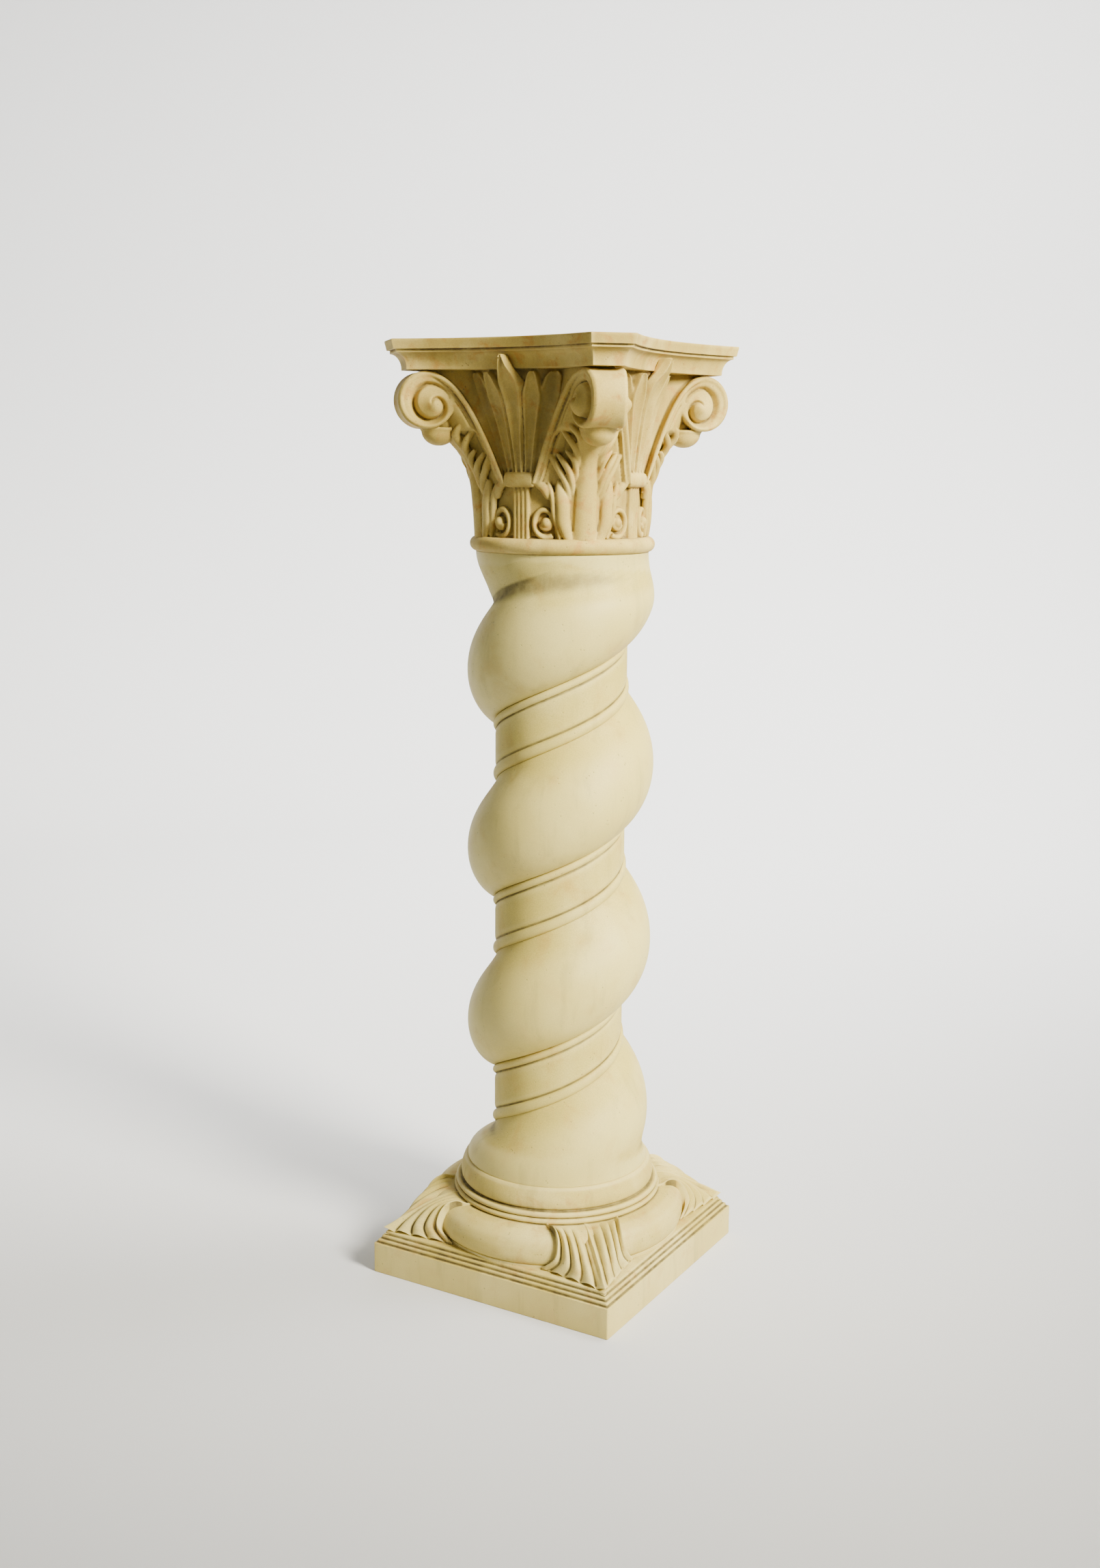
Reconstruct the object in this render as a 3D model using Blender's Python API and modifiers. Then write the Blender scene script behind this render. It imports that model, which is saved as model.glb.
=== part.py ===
"""A spiral column: a square leafed base, a twisted shaft and a scrolled capital.

Metres, +Z up. The origin is under the middle of the plinth, whose sides follow X and Y.
The column is three solids that stand on each other: base, shaft and capital.
"""
import math

import bmesh
import bpy
from mathutils import Matrix, Vector

COLUMN_HEIGHT = 1.020
JOINT = 0.0003
WELD = 0.00001
LEVEL_REACH = 0.0002

PLINTH_SIDE = 0.300
FASCIA_HEIGHT = 0.0345
STEP_RISE = 0.0042
STEP_SETBACK = 0.0032
STEP_COUNT = 3

TORUS_RADIUS = 0.144
TORUS_HEIGHT = 0.036
TORUS_DEPTH = 0.027
TORUS_FOOT_RADIUS = 0.140
TORUS_FOOT_HEIGHT = 0.003
FILLET_RADIUS = 0.1170
FILLET_HEIGHT = 0.0062
RING_RADIUS = 0.1150
RING_HEIGHT = 0.0062
RING_GROOVE = 0.0022
DRUM_RADIUS = 0.1050
DRUM_HEIGHT = 0.0245
DRUM_SWELL = 0.0025

SPUR_HALF_WIDTH = 0.052
SPUR_RISE = 0.0025
SPUR_FLUTE = 0.0024
SPUR_BULGE = 0.0070
SPUR_RIBS = 5
SPUR_TIP = 0.0010

LOBE_RADIUS = 0.1012
BAND_RADIUS = 0.0714
PITCH = 0.1975
UPPER_BEAD = 0.0097
LOWER_BEAD = 0.0134
BEAD_PROUD = 0.0022
BEAD_GROOVE = 0.0022
SHAFT_FOOT_RADIUS = 0.1015
SHAFT_NECK_RADIUS = 0.0925
FOOT_BLEND = 0.036
NECK_BLEND = 0.060
BEAD_FADE = 0.105

CAPITAL_HEIGHT = 0.215
ASTRAGAL_RADIUS = 0.0990
ASTRAGAL_HEIGHT = 0.016
BELL_FOOT_RADIUS = 0.082
BELL_LIP_RADIUS = 0.106
ABACUS_HEIGHT = 0.030
ABACUS_SIDE = 0.296
ABACUS_CORNER = 0.0457
ABACUS_HOLLOW = 0.022
ABACUS_OVERHANG = 0.0163
ABACUS_FASCIA = 0.0105

SCROLL_RADIUS = 0.0290
SCROLL_REACH = 0.150
SCROLL_HALF_WIDTH = 0.021
SCROLL_FLARE = 0.18
SCROLL_BEAD = 0.0042
SCROLL_TURNS = 1.6
SCROLL_EYE = 0.0075
CUP_HALF_WIDTH = 0.0178
WEB_RECESS = 0.010

TIE_HALF_WIDTH = 0.0150
TIE_RADIUS = 0.0070
REED_RADIUS = 0.0029
REED_COUNT = 4
PETAL_DEPTH = 0.0105
PETAL_CURL = 0.006
LEAF_STEM_HALF_WIDTH = 0.0125
LEAF_RISE = 0.012

BASE_HEIGHT = (FASCIA_HEIGHT + STEP_COUNT * STEP_RISE + TORUS_FOOT_HEIGHT + TORUS_HEIGHT
               + FILLET_HEIGHT + RING_HEIGHT + DRUM_HEIGHT)
TWIST_PHASE = 0.399
CORNERS = (45, 135, 225, 315)
FACES = (0, 90, 180, 270)


def clear_scene():
    for item in list(bpy.data.objects):
        bpy.data.objects.remove(item, do_unlink=True)


def new_collection(name):
    collection = bpy.data.collections.new(name)
    bpy.context.scene.collection.children.link(collection)
    return collection


def stone(name, colour, roughness):
    material = bpy.data.materials.new(name)
    material.use_nodes = True
    shader = material.node_tree.nodes["Principled BSDF"]
    shader.inputs["Base Color"].default_value = (*colour, 1.0)
    shader.inputs["Roughness"].default_value = roughness
    shader.inputs["Metallic"].default_value = 0.0
    return material


def mesh_object(name, bm, collection):
    bmesh.ops.recalc_face_normals(bm, faces=bm.faces)
    mesh = bpy.data.meshes.new(name)
    bm.to_mesh(mesh)
    bm.free()
    item = bpy.data.objects.new(name, mesh)
    collection.objects.link(item)
    return item


def apply_modifiers(item):
    """Replace an object's mesh by what its modifiers make of it."""
    bpy.context.view_layer.update()
    shaped = item.evaluated_get(bpy.context.evaluated_depsgraph_get())
    mesh = bpy.data.meshes.new_from_object(shaped)
    item.modifiers.clear()
    item.data = mesh
    return item


def turned(name, profile, steps, collection, screw=0.0, start=0.0):
    """Turn a profile of (radius, height) points, listed top to bottom, about Z."""
    bm = bmesh.new()
    points = [bm.verts.new((radius, 0, height)) for radius, height in profile]
    for upper, lower in zip(points, points[1:]):
        bm.edges.new((upper, lower))
    bmesh.ops.rotate(bm, verts=bm.verts, matrix=Matrix.Rotation(start, 3, "Z"))
    mesh = bpy.data.meshes.new(name)
    bm.to_mesh(mesh)
    bm.free()
    item = bpy.data.objects.new(name, mesh)
    collection.objects.link(item)
    turn = item.modifiers.new("turn", "SCREW")
    turn.steps = turn.render_steps = steps
    turn.screw_offset = screw
    turn.use_merge_vertices = True
    turn.merge_threshold = WELD
    return apply_modifiers(item)


def close_and_clean(item):
    bm = bmesh.new()
    bm.from_mesh(item.data)
    bmesh.ops.remove_doubles(bm, verts=bm.verts, dist=WELD)
    bmesh.ops.holes_fill(bm, edges=[edge for edge in bm.edges if edge.is_boundary])
    bmesh.ops.recalc_face_normals(bm, faces=bm.faces)
    bm.to_mesh(item.data)
    bm.free()
    return item


def loft(name, rings, collection):
    """Join rings of equally many points, in order, and close both ends."""
    bm = bmesh.new()
    loops = [[bm.verts.new(point) for point in ring] for ring in rings]
    count = len(rings[0])
    for lower, upper in zip(loops, loops[1:]):
        for k in range(count):
            after = (k + 1) % count
            bm.faces.new((lower[k], lower[after], upper[after], upper[k]))
    bm.faces.new(loops[0])
    bm.faces.new(loops[-1])
    return mesh_object(name, bm, collection)


def slab(name, top, bottom, collection):
    """A solid between two grids of points, one over the other."""
    bm = bmesh.new()
    grids = [[[bm.verts.new(point) for point in column] for column in grid] for grid in (top, bottom)]
    columns = len(top)
    rows = len(top[0])
    for grid in grids:
        for k in range(columns - 1):
            for j in range(rows - 1):
                bm.faces.new((grid[k][j], grid[k + 1][j], grid[k + 1][j + 1], grid[k][j + 1]))
    rim = [(k, 0) for k in range(columns)] + [(columns - 1, j) for j in range(1, rows)]
    rim += [(k, rows - 1) for k in range(columns - 2, -1, -1)] + [(0, j) for j in range(rows - 2, 0, -1)]
    for (k, j), (m, n) in zip(rim, rim[1:] + rim[:1]):
        bm.faces.new((grids[0][k][j], grids[0][m][n], grids[1][m][n], grids[1][k][j]))
    return mesh_object(name, bm, collection)


def tube(name, points, radii, collection, resolution=0):
    """A closed round rod along points, with its own radius at each one."""
    curve = bpy.data.curves.new(name, "CURVE")
    curve.dimensions = "3D"
    curve.bevel_depth = 1.0
    curve.bevel_resolution = resolution
    curve.use_fill_caps = True
    spline = curve.splines.new("POLY")
    spline.points.add(len(points) - 1)
    for knot, point, radius in zip(spline.points, points, radii):
        knot.co = (*point, 1.0)
        knot.radius = radius
    bent = bpy.data.objects.new(name, curve)
    collection.objects.link(bent)
    bpy.context.view_layer.update()
    shaped = bent.evaluated_get(bpy.context.evaluated_depsgraph_get())
    bm = bmesh.new()
    bm.from_mesh(shaped.to_mesh())
    shaped.to_mesh_clear()
    bpy.data.objects.remove(bent, do_unlink=True)
    bmesh.ops.remove_doubles(bm, verts=bm.verts, dist=2 * WELD)
    return mesh_object(name, bm, collection)


def ball(name, place, radii, collection, segments=10, rings=6):
    bm = bmesh.new()
    bmesh.ops.create_uvsphere(bm, u_segments=segments, v_segments=rings, radius=1.0)
    bmesh.ops.transform(bm, verts=bm.verts, matrix=place @ Matrix.Diagonal((*radii, 1.0)))
    return mesh_object(name, bm, collection)


def fill_hollows(bm):
    """Delete the small closed skins left inside a solid, where shapes met around a gap."""
    skins = []
    waiting = set(bm.faces)
    while waiting:
        edge_of_skin = [waiting.pop()]
        skin = list(edge_of_skin)
        while edge_of_skin:
            face = edge_of_skin.pop()
            for edge in face.edges:
                for other in edge.link_faces:
                    if other in waiting:
                        waiting.discard(other)
                        edge_of_skin.append(other)
                        skin.append(other)
        skins.append(skin)
    skins.sort(key=len)
    for skin in skins[:-1]:
        bmesh.ops.delete(bm, geom=skin, context="FACES")


def united(item, others, kept_share, levels):
    """One solid from a body and the shapes that grow out of it, with its slivers merged away.

    Its underside and its top are set back onto their two levels.
    """
    union = item.modifiers.new("union", "BOOLEAN")
    union.operation = "UNION"
    union.operand_type = "COLLECTION"
    union.collection = others
    union.solver = "EXACT"
    apply_modifiers(item)
    for other in list(others.objects):
        bpy.data.objects.remove(other, do_unlink=True)
    bm = bmesh.new()
    bm.from_mesh(item.data)
    bmesh.ops.remove_doubles(bm, verts=bm.verts, dist=WELD)
    fill_hollows(bm)
    bmesh.ops.triangulate(bm, faces=bm.faces)
    bm.to_mesh(item.data)
    bm.free()
    thin = item.modifiers.new("thin", "DECIMATE")
    thin.decimate_type = "COLLAPSE"
    thin.ratio = kept_share
    apply_modifiers(item)
    for vert in item.data.vertices:
        for height in levels:
            if abs(vert.co.z - height) < LEVEL_REACH:
                vert.co.z = height
    return item


def finish(item, material):
    item.data.materials.clear()
    item.data.materials.append(material)
    item.data.shade_smooth()
    item.data.set_sharp_from_angle(angle=math.radians(35))


def blend(low, high, share):
    return low + (high - low) * share


def eased(share):
    share = min(max(share, 0.0), 1.0)
    return share * share * (3 - 2 * share)


def at_corner(corner, out, across, height):
    """A point given along a corner's diagonal, across it, and up."""
    angle = math.radians(corner)
    return Vector((out * math.cos(angle) - across * math.sin(angle),
                   out * math.sin(angle) + across * math.cos(angle), height))


def arc_points(centre, radius, first, last, count):
    """Points on a circle of (radius, height) values, from one angle to another."""
    angles = [math.radians(blend(first, last, k / (count - 1))) for k in range(count)]
    return [(centre[0] + radius * math.cos(a), centre[1] + radius * math.sin(a)) for a in angles]


# Base: a stepped square plinth, a torus, two thin rings and a drum.

def plinth_top():
    return FASCIA_HEIGHT + STEP_COUNT * STEP_RISE


def plinth(collection):
    half = PLINTH_SIDE / 2
    profile = [(0.0, plinth_top())]
    for step in range(STEP_COUNT, 0, -1):
        side = half - step * STEP_SETBACK
        top = FASCIA_HEIGHT + step * STEP_RISE
        profile.append((side, top))
        profile.append((side, top - STEP_RISE))
    profile += [(half, FASCIA_HEIGHT), (half, 0.0), (0.0, 0.0)]
    corners = [(side * math.sqrt(2), height) for side, height in profile]
    return close_and_clean(turned("plinth", corners, 4, collection, start=math.radians(45)))


def round_base(collection):
    top = plinth_top()
    foot = top + TORUS_FOOT_HEIGHT
    half = TORUS_HEIGHT / 2
    fillet = foot + TORUS_HEIGHT
    ring = fillet + FILLET_HEIGHT
    drum = ring + RING_HEIGHT
    profile = [(0.0, BASE_HEIGHT), (DRUM_RADIUS - DRUM_SWELL, BASE_HEIGHT)]
    profile += [(DRUM_RADIUS, blend(drum, BASE_HEIGHT, share)) for share in (0.75, 0.35)]
    profile += [(DRUM_RADIUS - DRUM_SWELL, drum), (RING_RADIUS - RING_GROOVE, drum)]
    profile += [(RING_RADIUS, blend(ring, drum, share)) for share in (0.75, 0.30)]
    profile += [(RING_RADIUS - RING_GROOVE, ring)]
    profile += [(FILLET_RADIUS, blend(fillet, ring, share)) for share in (0.80, 0.15)]
    profile += [(FILLET_RADIUS - RING_GROOVE, fillet)]
    for angle in (math.radians(degrees) for degrees in (80, 58, 38, 18, -4, -26, -48)):
        reach = TORUS_RADIUS - TORUS_DEPTH * (1 - math.cos(angle))
        profile.append((reach, foot + half + half * math.sin(angle)))
    profile += [(TORUS_FOOT_RADIUS - 0.003, foot), (TORUS_FOOT_RADIUS, top + 0.5 * TORUS_FOOT_HEIGHT)]
    profile += [(TORUS_FOOT_RADIUS, top - STEP_RISE / 2), (0.0, top - STEP_RISE / 2)]
    return close_and_clean(turned("base", profile, 36, collection))


def spur(corner, collection):
    """A fluted leaf that fans from the torus out to one corner of the plinth.

    Columns run from the ring down to the plinth, blended between the leaf's crest and its
    rim. Each knot is (share of the way to the tip, share of the half width, share of the rise).
    """
    crest = ((-0.10, 0.0, 0.90), (0.0, 0.0, 0.94), (0.18, 0.0, 0.99), (0.39, 0.0, 0.92),
             (0.61, 0.0, 0.60), (0.81, 0.0, 0.30), (1.0, 0.0, 0.09))
    rim = ((-0.14, 0.80, 0.90), (-0.035, 0.78, 0.94), (0.08, 0.73, 1.02), (0.19, 0.69, 0.93),
           (0.285, 0.70, 0.68), (0.32, 0.78, 0.34), (0.20, 1.0, 0.06))
    foot = plinth_top()
    rise = TORUS_FOOT_HEIGHT + TORUS_HEIGHT + SPUR_RISE
    tip = (PLINTH_SIDE / 2 - STEP_COUNT * STEP_SETBACK) * math.sqrt(2) + SPUR_TIP
    top = []
    for k in range(2 * SPUR_RIBS + 1):
        turn = k / SPUR_RIBS - 1
        flute = SPUR_FLUTE * (1 if k % 2 == 0 else -1)
        column = []
        for j, (middle, edge) in enumerate(zip(crest, rim)):
            out, across, up = (blend(middle[n], edge[n], abs(turn)) for n in range(3))
            along = j / (len(crest) - 1)
            swell = flute * math.sin(math.pi * blend(0.12, 0.78, along))
            bulge = SPUR_BULGE * math.sin(math.pi * min(abs(turn), 1.0)) * math.sin(math.pi * along ** 1.3)
            reach = blend(FILLET_RADIUS - 0.002, tip, out) + 0.5 * swell + bulge
            side = math.copysign(SPUR_HALF_WIDTH * across + 0.5 * bulge, turn) if turn else 0.0
            column.append(at_corner(corner, reach, side, foot + rise * up + swell + 0.5 * bulge))
        top.append(column)
    flat = [[Vector((point.x, point.y, foot - STEP_RISE / 2)) for point in column] for column in top]
    return slab("spur", top, flat, collection)


def make_base(parts, work):
    body = round_base(parts)
    plinth(work)
    for corner in CORNERS:
        spur(corner, work)
    return united(body, work, 0.85, (0.0, BASE_HEIGHT))


# Shaft: one profile over a pitch, carried round and up by the screw.

def twist_profile():
    """(share of a pitch, radius) over one pitch, from the band up over the lobe."""
    lower = LOWER_BEAD / PITCH
    upper = UPPER_BEAD / PITCH
    band_end = 0.335
    bead = BAND_RADIUS + BEAD_PROUD
    groove = BAND_RADIUS - BEAD_GROOVE
    rows = [(0.0, groove), (lower * 0.25, bead), (lower * 0.75, bead), (lower * 1.1, groove),
            (lower * 1.3, BAND_RADIUS)]
    rows += [(band_end - upper * 1.3, BAND_RADIUS), (band_end - upper * 1.1, groove),
             (band_end - upper * 0.75, bead), (band_end - upper * 0.25, bead), (band_end, groove)]
    lobe = 7
    for k in range(1, lobe):
        share = k / lobe
        swell = math.sin(math.pi * share ** 0.92) ** 0.72
        rows.append((blend(band_end, 1.0, share), blend(BAND_RADIUS, LOBE_RADIUS, swell)))
    return rows


def make_shaft(parts):
    foot = BASE_HEIGHT + JOINT
    head = COLUMN_HEIGHT - CAPITAL_HEIGHT - JOINT
    pitches = math.ceil((head - foot) / PITCH) + 2
    first = foot - PITCH * (1 + TWIST_PHASE)
    rows = [(radius, first + PITCH * (turn + share))
            for turn in range(pitches + 1) for share, radius in twist_profile()]
    item = turned("shaft", rows[::-1], 28, parts, screw=PITCH)
    bm = bmesh.new()
    bm.from_mesh(item.data)
    bmesh.ops.remove_doubles(bm, verts=bm.verts, dist=2 * WELD)
    for height, up in ((foot, -1), (head, 1)):
        everything = bm.verts[:] + bm.edges[:] + bm.faces[:]
        bmesh.ops.bisect_plane(bm, geom=everything, plane_co=(0, 0, height), plane_no=(0, 0, up),
                               clear_outer=True, dist=WELD)
        rim = [edge for edge in bm.edges if edge.is_boundary
               and all(abs(vert.co.z - height) < WELD for vert in edge.verts)]
        bmesh.ops.holes_fill(bm, edges=rim)
    for vert in bm.verts:
        reach = math.hypot(vert.co.x, vert.co.y)
        low = 1 - eased((vert.co.z - foot) / FOOT_BLEND)
        high = 1 - eased((head - vert.co.z) / NECK_BLEND)
        plain = 1 - eased((head - vert.co.z) / BEAD_FADE)
        floor = blend(BAND_RADIUS - BEAD_GROOVE, BAND_RADIUS + BEAD_PROUD + 0.001, min(1.0, 1.6 * plain))
        wanted = blend(blend(max(reach, floor), SHAFT_FOOT_RADIUS, low), SHAFT_NECK_RADIUS, high)
        vert.co.x *= wanted / reach
        vert.co.y *= wanted / reach
    bmesh.ops.recalc_face_normals(bm, faces=bm.faces)
    bmesh.ops.triangulate(bm, faces=bm.faces)
    bm.to_mesh(item.data)
    bm.free()
    return item


# Capital: an astragal and bell, leaves and scrolls, and the abacus over them.

BELL_FOOT = COLUMN_HEIGHT - CAPITAL_HEIGHT + ASTRAGAL_HEIGHT
BELL_TOP = COLUMN_HEIGHT - ABACUS_HEIGHT


def level(share):
    return blend(BELL_FOOT, BELL_TOP, share)


def bell_radius(share):
    return blend(BELL_FOOT_RADIUS, BELL_LIP_RADIUS, max(share, 0.0) ** 2.5)


def on_bell(degrees, share, rise=0.0):
    """A point on the bell, raised from it by rise."""
    angle = math.radians(degrees)
    reach = bell_radius(share) + rise
    return Vector((reach * math.cos(angle), reach * math.sin(angle), level(share)))


def bell(collection):
    foot = COLUMN_HEIGHT - CAPITAL_HEIGHT
    half = ASTRAGAL_HEIGHT / 2
    profile = [(0.0, BELL_TOP + ABACUS_HEIGHT / 2), (BELL_LIP_RADIUS - 0.008, BELL_TOP + ABACUS_HEIGHT / 2)]
    profile += [(bell_radius(share), level(share)) for share in (1.0, 0.9, 0.75, 0.55, 0.3, 0.0)]
    profile += arc_points((ASTRAGAL_RADIUS - half, foot + half), half, 80, -90, 6)
    profile.append((0.0, foot))
    return close_and_clean(turned("capital", profile, 32, collection))


def abacus_ring(offset, height):
    """The plan at one level: hollow sides and cut corners, moved out by offset."""
    half = ABACUS_SIDE / 2 - ABACUS_OVERHANG + offset
    mitre = 2 * math.tan(math.radians(22.5))
    cut = (ABACUS_CORNER - mitre * (ABACUS_OVERHANG - offset)) / math.sqrt(2)
    end = half - cut
    points = []
    for face in FACES:
        for k in range(7):
            side = k / 3 - 1
            points.append(at_corner(face, half - ABACUS_HOLLOW * (1 - side * side), end * side, height))
    return points


def abacus(collection):
    base = BELL_TOP
    shelf = COLUMN_HEIGHT - ABACUS_FASCIA
    rings = [abacus_ring(0.0, base)]
    for share in (0.4, 0.75, 1.0):
        hollow = 1 - math.sqrt(1 - (0.96 * share) ** 2)
        rings.append(abacus_ring(0.76 * ABACUS_OVERHANG * hollow / 0.72, blend(base, shelf, share)))
    rings.append(abacus_ring(0.86 * ABACUS_OVERHANG, shelf + 0.0002))
    rings.append(abacus_ring(0.90 * ABACUS_OVERHANG, shelf + 0.25 * ABACUS_FASCIA))
    rings.append(abacus_ring(ABACUS_OVERHANG, shelf + 0.8 * ABACUS_FASCIA))
    rings.append(abacus_ring(ABACUS_OVERHANG, COLUMN_HEIGHT))
    return loft("abacus", rings, collection)


def scroll_centre_height():
    return BELL_TOP - SCROLL_RADIUS - 0.001


def stem_point(share):
    """(out, across, height) on the line that a scroll's stem follows from the tie."""
    start = (0.0765, 0.0520, level(0.31))
    rise = (0.095, 0.040, level(0.60))
    bend = (0.118, 0.028, level(0.99))
    top = (SCROLL_REACH, SCROLL_HALF_WIDTH, scroll_centre_height() + SCROLL_RADIUS - SCROLL_BEAD)
    weights = ((1 - share) ** 3, 3 * share * (1 - share) ** 2, 3 * share * share * (1 - share), share ** 3)
    return tuple(sum(weight * knot[axis] for weight, knot in zip(weights, (start, rise, bend, top)))
                 for axis in range(3))


def volute(corner, side, collection):
    """The stem and its spiral, on one side of a corner."""
    points = []
    radii = []
    stem_steps = 6
    for k in range(stem_steps):
        out, across, height = stem_point(k / stem_steps)
        points.append(at_corner(corner, out, side * across, height))
        radii.append(blend(0.0040, SCROLL_BEAD, k / stem_steps))
    turns = 15
    for k in range(turns):
        share = k / (turns - 1)
        angle = math.radians(90 - 360 * SCROLL_TURNS * share)
        reach = blend(SCROLL_RADIUS - SCROLL_BEAD, 0.0045, share ** 0.85)
        out = SCROLL_REACH + reach * math.cos(angle)
        across = SCROLL_HALF_WIDTH + SCROLL_FLARE * (SCROLL_REACH - out) + 0.5 * SCROLL_EYE * share
        height = scroll_centre_height() + reach * math.sin(angle)
        points.append(at_corner(corner, out, side * across, height))
        radii.append(blend(SCROLL_BEAD, 0.0034, share))
    return tube("volute", points, radii, collection)


def roll(corner, collection):
    """The drum between a corner's two scrolls, wider towards the bell."""
    segments = 16
    rings = []
    for side in (-1, 1):
        ring = []
        for k in range(segments):
            angle = 2 * math.pi * k / segments
            out = SCROLL_REACH + (SCROLL_RADIUS - 0.0015) * math.cos(angle)
            height = scroll_centre_height() + (SCROLL_RADIUS - 0.0015) * math.sin(angle)
            across = SCROLL_HALF_WIDTH + SCROLL_FLARE * (SCROLL_REACH - out)
            ring.append(at_corner(corner, out, side * across, height))
        rings.append(ring)
    return loft("roll", rings, collection)


def web(corner, collection):
    """The wedge between a corner's stems, from the bell out to the roll."""
    rings = []
    for share, low in ((0.10, 0.20), (0.30, 0.42), (0.48, 0.56), (0.64, 0.66), (0.80, 0.72), (0.96, 0.76)):
        out, across, height = stem_point(share)
        shelf = max(across - WEB_RECESS, 0.006)
        rings.append([at_corner(corner, out, across - 0.001, height - 0.001),
                      at_corner(corner, out - 0.003, shelf, height),
                      at_corner(corner, out - 0.003, shelf, BELL_TOP + 0.002),
                      at_corner(corner, out - 0.003, -shelf, BELL_TOP + 0.002),
                      at_corner(corner, out - 0.003, -shelf, height),
                      at_corner(corner, out, -across + 0.001, height - 0.001),
                      at_corner(corner, out - 0.004, -across + 0.002, level(low)),
                      at_corner(corner, out + 0.002, 0.0, level(low) - 0.004),
                      at_corner(corner, out - 0.004, across - 0.002, level(low))])
    return loft("web", rings, collection)


def cup(corner, collection):
    """The curled tip of the corner leaf, under the roll."""
    place = Matrix.Translation(at_corner(corner, 0.134, 0.0, level(0.645)))
    place = place @ Matrix.Rotation(math.radians(corner), 4, "Z")
    return ball("cup", place, (0.0185, CUP_HALF_WIDTH, 0.0145), collection, segments=12, rings=8)


def leaf_stem(corner, collection):
    """The plain middle of a corner leaf, from the astragal up to its curled tip."""
    rings = []
    for out, share, width in ((0.086, -0.02, 1.2), (0.0875, 0.15, 1.0), (0.090, 0.33, 0.95),
                              (0.096, 0.47, 0.9), (0.107, 0.58, 0.95), (0.124, 0.645, 1.1)):
        half = LEAF_STEM_HALF_WIDTH * width
        height = level(share)
        front = out + 0.6 * LEAF_RISE
        edge = out + 0.25 * LEAF_RISE
        drop = 0.010 * eased((share - 0.4) / 0.25)
        rings.append([at_corner(corner, front, -0.45 * half, height - drop),
                      at_corner(corner, front, 0.45 * half, height - drop),
                      at_corner(corner, edge, half, height - 0.5 * drop),
                      at_corner(corner, out - LEAF_RISE, 0.8 * half, height + drop),
                      at_corner(corner, out - LEAF_RISE, -0.8 * half, height + drop),
                      at_corner(corner, edge, -half, height - 0.5 * drop)])
    return loft("leaf stem", rings, collection)


def leaf_blade(corner, collection):
    """The thin spread of a corner leaf on the bell, behind its fingers."""
    rings = []
    for share, degrees, rise in ((-0.02, 12.0, 0.004), (0.12, 13.5, 0.005), (0.30, 11.5, 0.006),
                                 (0.42, 12.5, 0.009), (0.54, 10.0, 0.014), (0.64, 7.5, 0.020)):
        front = [on_bell(corner + degrees * side, share, rise + 0.002 * (1 - side * side))
                 for side in (-1, -0.5, 0, 0.5, 1)]
        back = [on_bell(corner + degrees * side, share, -0.008) for side in (1, 0, -1)]
        rings.append(front + back)
    return loft("leaf blade", rings, collection)


def leaflets(corner, collection):
    """Fingers of a corner leaf: (degrees, share, rise) at root, middle and tip, and a girth."""
    fingers = (
        ((8.5, 0.0, 0.004), (15.5, 0.13, 0.007), (14.0, 0.25, 0.008), (17.0, 0.38, 0.005), 0.0066),
        ((11.0, 0.31, 0.006), (15.5, 0.38, 0.009), (19.5, 0.44, 0.010), (23.0, 0.515, 0.006), 0.0036),
        ((8.0, 0.34, 0.008), (10.0, 0.40, 0.012), (14.0, 0.46, 0.013), (19.0, 0.515, 0.008), 0.0036),
        ((6.5, 0.45, 0.012), (8.0, 0.51, 0.016), (11.0, 0.57, 0.017), (15.5, 0.63, 0.010), 0.0036),
        ((4.0, 0.50, 0.016), (5.5, 0.56, 0.020), (8.5, 0.62, 0.020), (12.5, 0.68, 0.012), 0.0036),
    )
    for side in (-1, 1):
        for *knots, girth in fingers:
            points = [on_bell(corner + side * degrees, share, rise) for degrees, share, rise in knots]
            tube("leaflet", points, [0.75 * girth, girth, girth, 0.4 * girth], collection)


def petals(face, collection):
    """Channelled petals that fan from the tie up to the abacus: a middle one and one each side.

    A petal is (degrees it leans, root and tip shares, half widths at root, belly and tip, lift).
    """
    fan = ((0.0, 0.35, 1.08, 0.0045, 0.0125, 0.0025, 0.0055),
           (14.5, 0.35, 0.985, 0.0040, 0.0088, 0.0045, 0.0035),
           (-14.5, 0.35, 0.985, 0.0040, 0.0088, 0.0045, 0.0035))
    for lean, root, tip, narrow, belly, end, lift in fan:
        rings = []
        for along in (0.0, 0.3, 0.6, 0.82, 1.0):
            share = blend(root, tip, along)
            half = blend(blend(narrow, belly, eased(along / 0.75)), end, eased((along - 0.72) / 0.28))
            curl = PETAL_CURL * eased((along - 0.75) / 0.25) if lean == 0.0 else 0.0
            reach = bell_radius(min(share, 1.0)) + lift + curl
            angle = face + lean * blend(0.42, 1.0, along)
            front = [(-half, -0.003), (-0.55 * half, 0.003), (0.0, 0.0008),
                     (0.55 * half, 0.003), (half, -0.003)]
            ring = [at_corner(angle, reach + rise, across, level(share)) for across, rise in front]
            ring.append(at_corner(angle, reach - PETAL_DEPTH, 0.0, level(share)))
            rings.append(ring)
        loft("petal", rings, collection)


def tie_and_reeds(face, collection):
    turn = math.degrees(TIE_HALF_WIDTH / bell_radius(0.36))
    points = [on_bell(face + turn * side, 0.36, 0.003) for side in (-1, -0.45, 0.45, 1)]
    tube("tie", points, [0.72 * TIE_RADIUS, TIE_RADIUS, TIE_RADIUS, 0.72 * TIE_RADIUS], collection, 1)
    spacing = math.degrees(1.62 * REED_RADIUS / BELL_FOOT_RADIUS)
    for k in range(REED_COUNT):
        place = face + spacing * (k - (REED_COUNT - 1) / 2)
        ends = [on_bell(place, share, 0.0015) for share in (-0.01, 0.35)]
        tube("reed", ends, [REED_RADIUS] * 2, collection)


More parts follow.
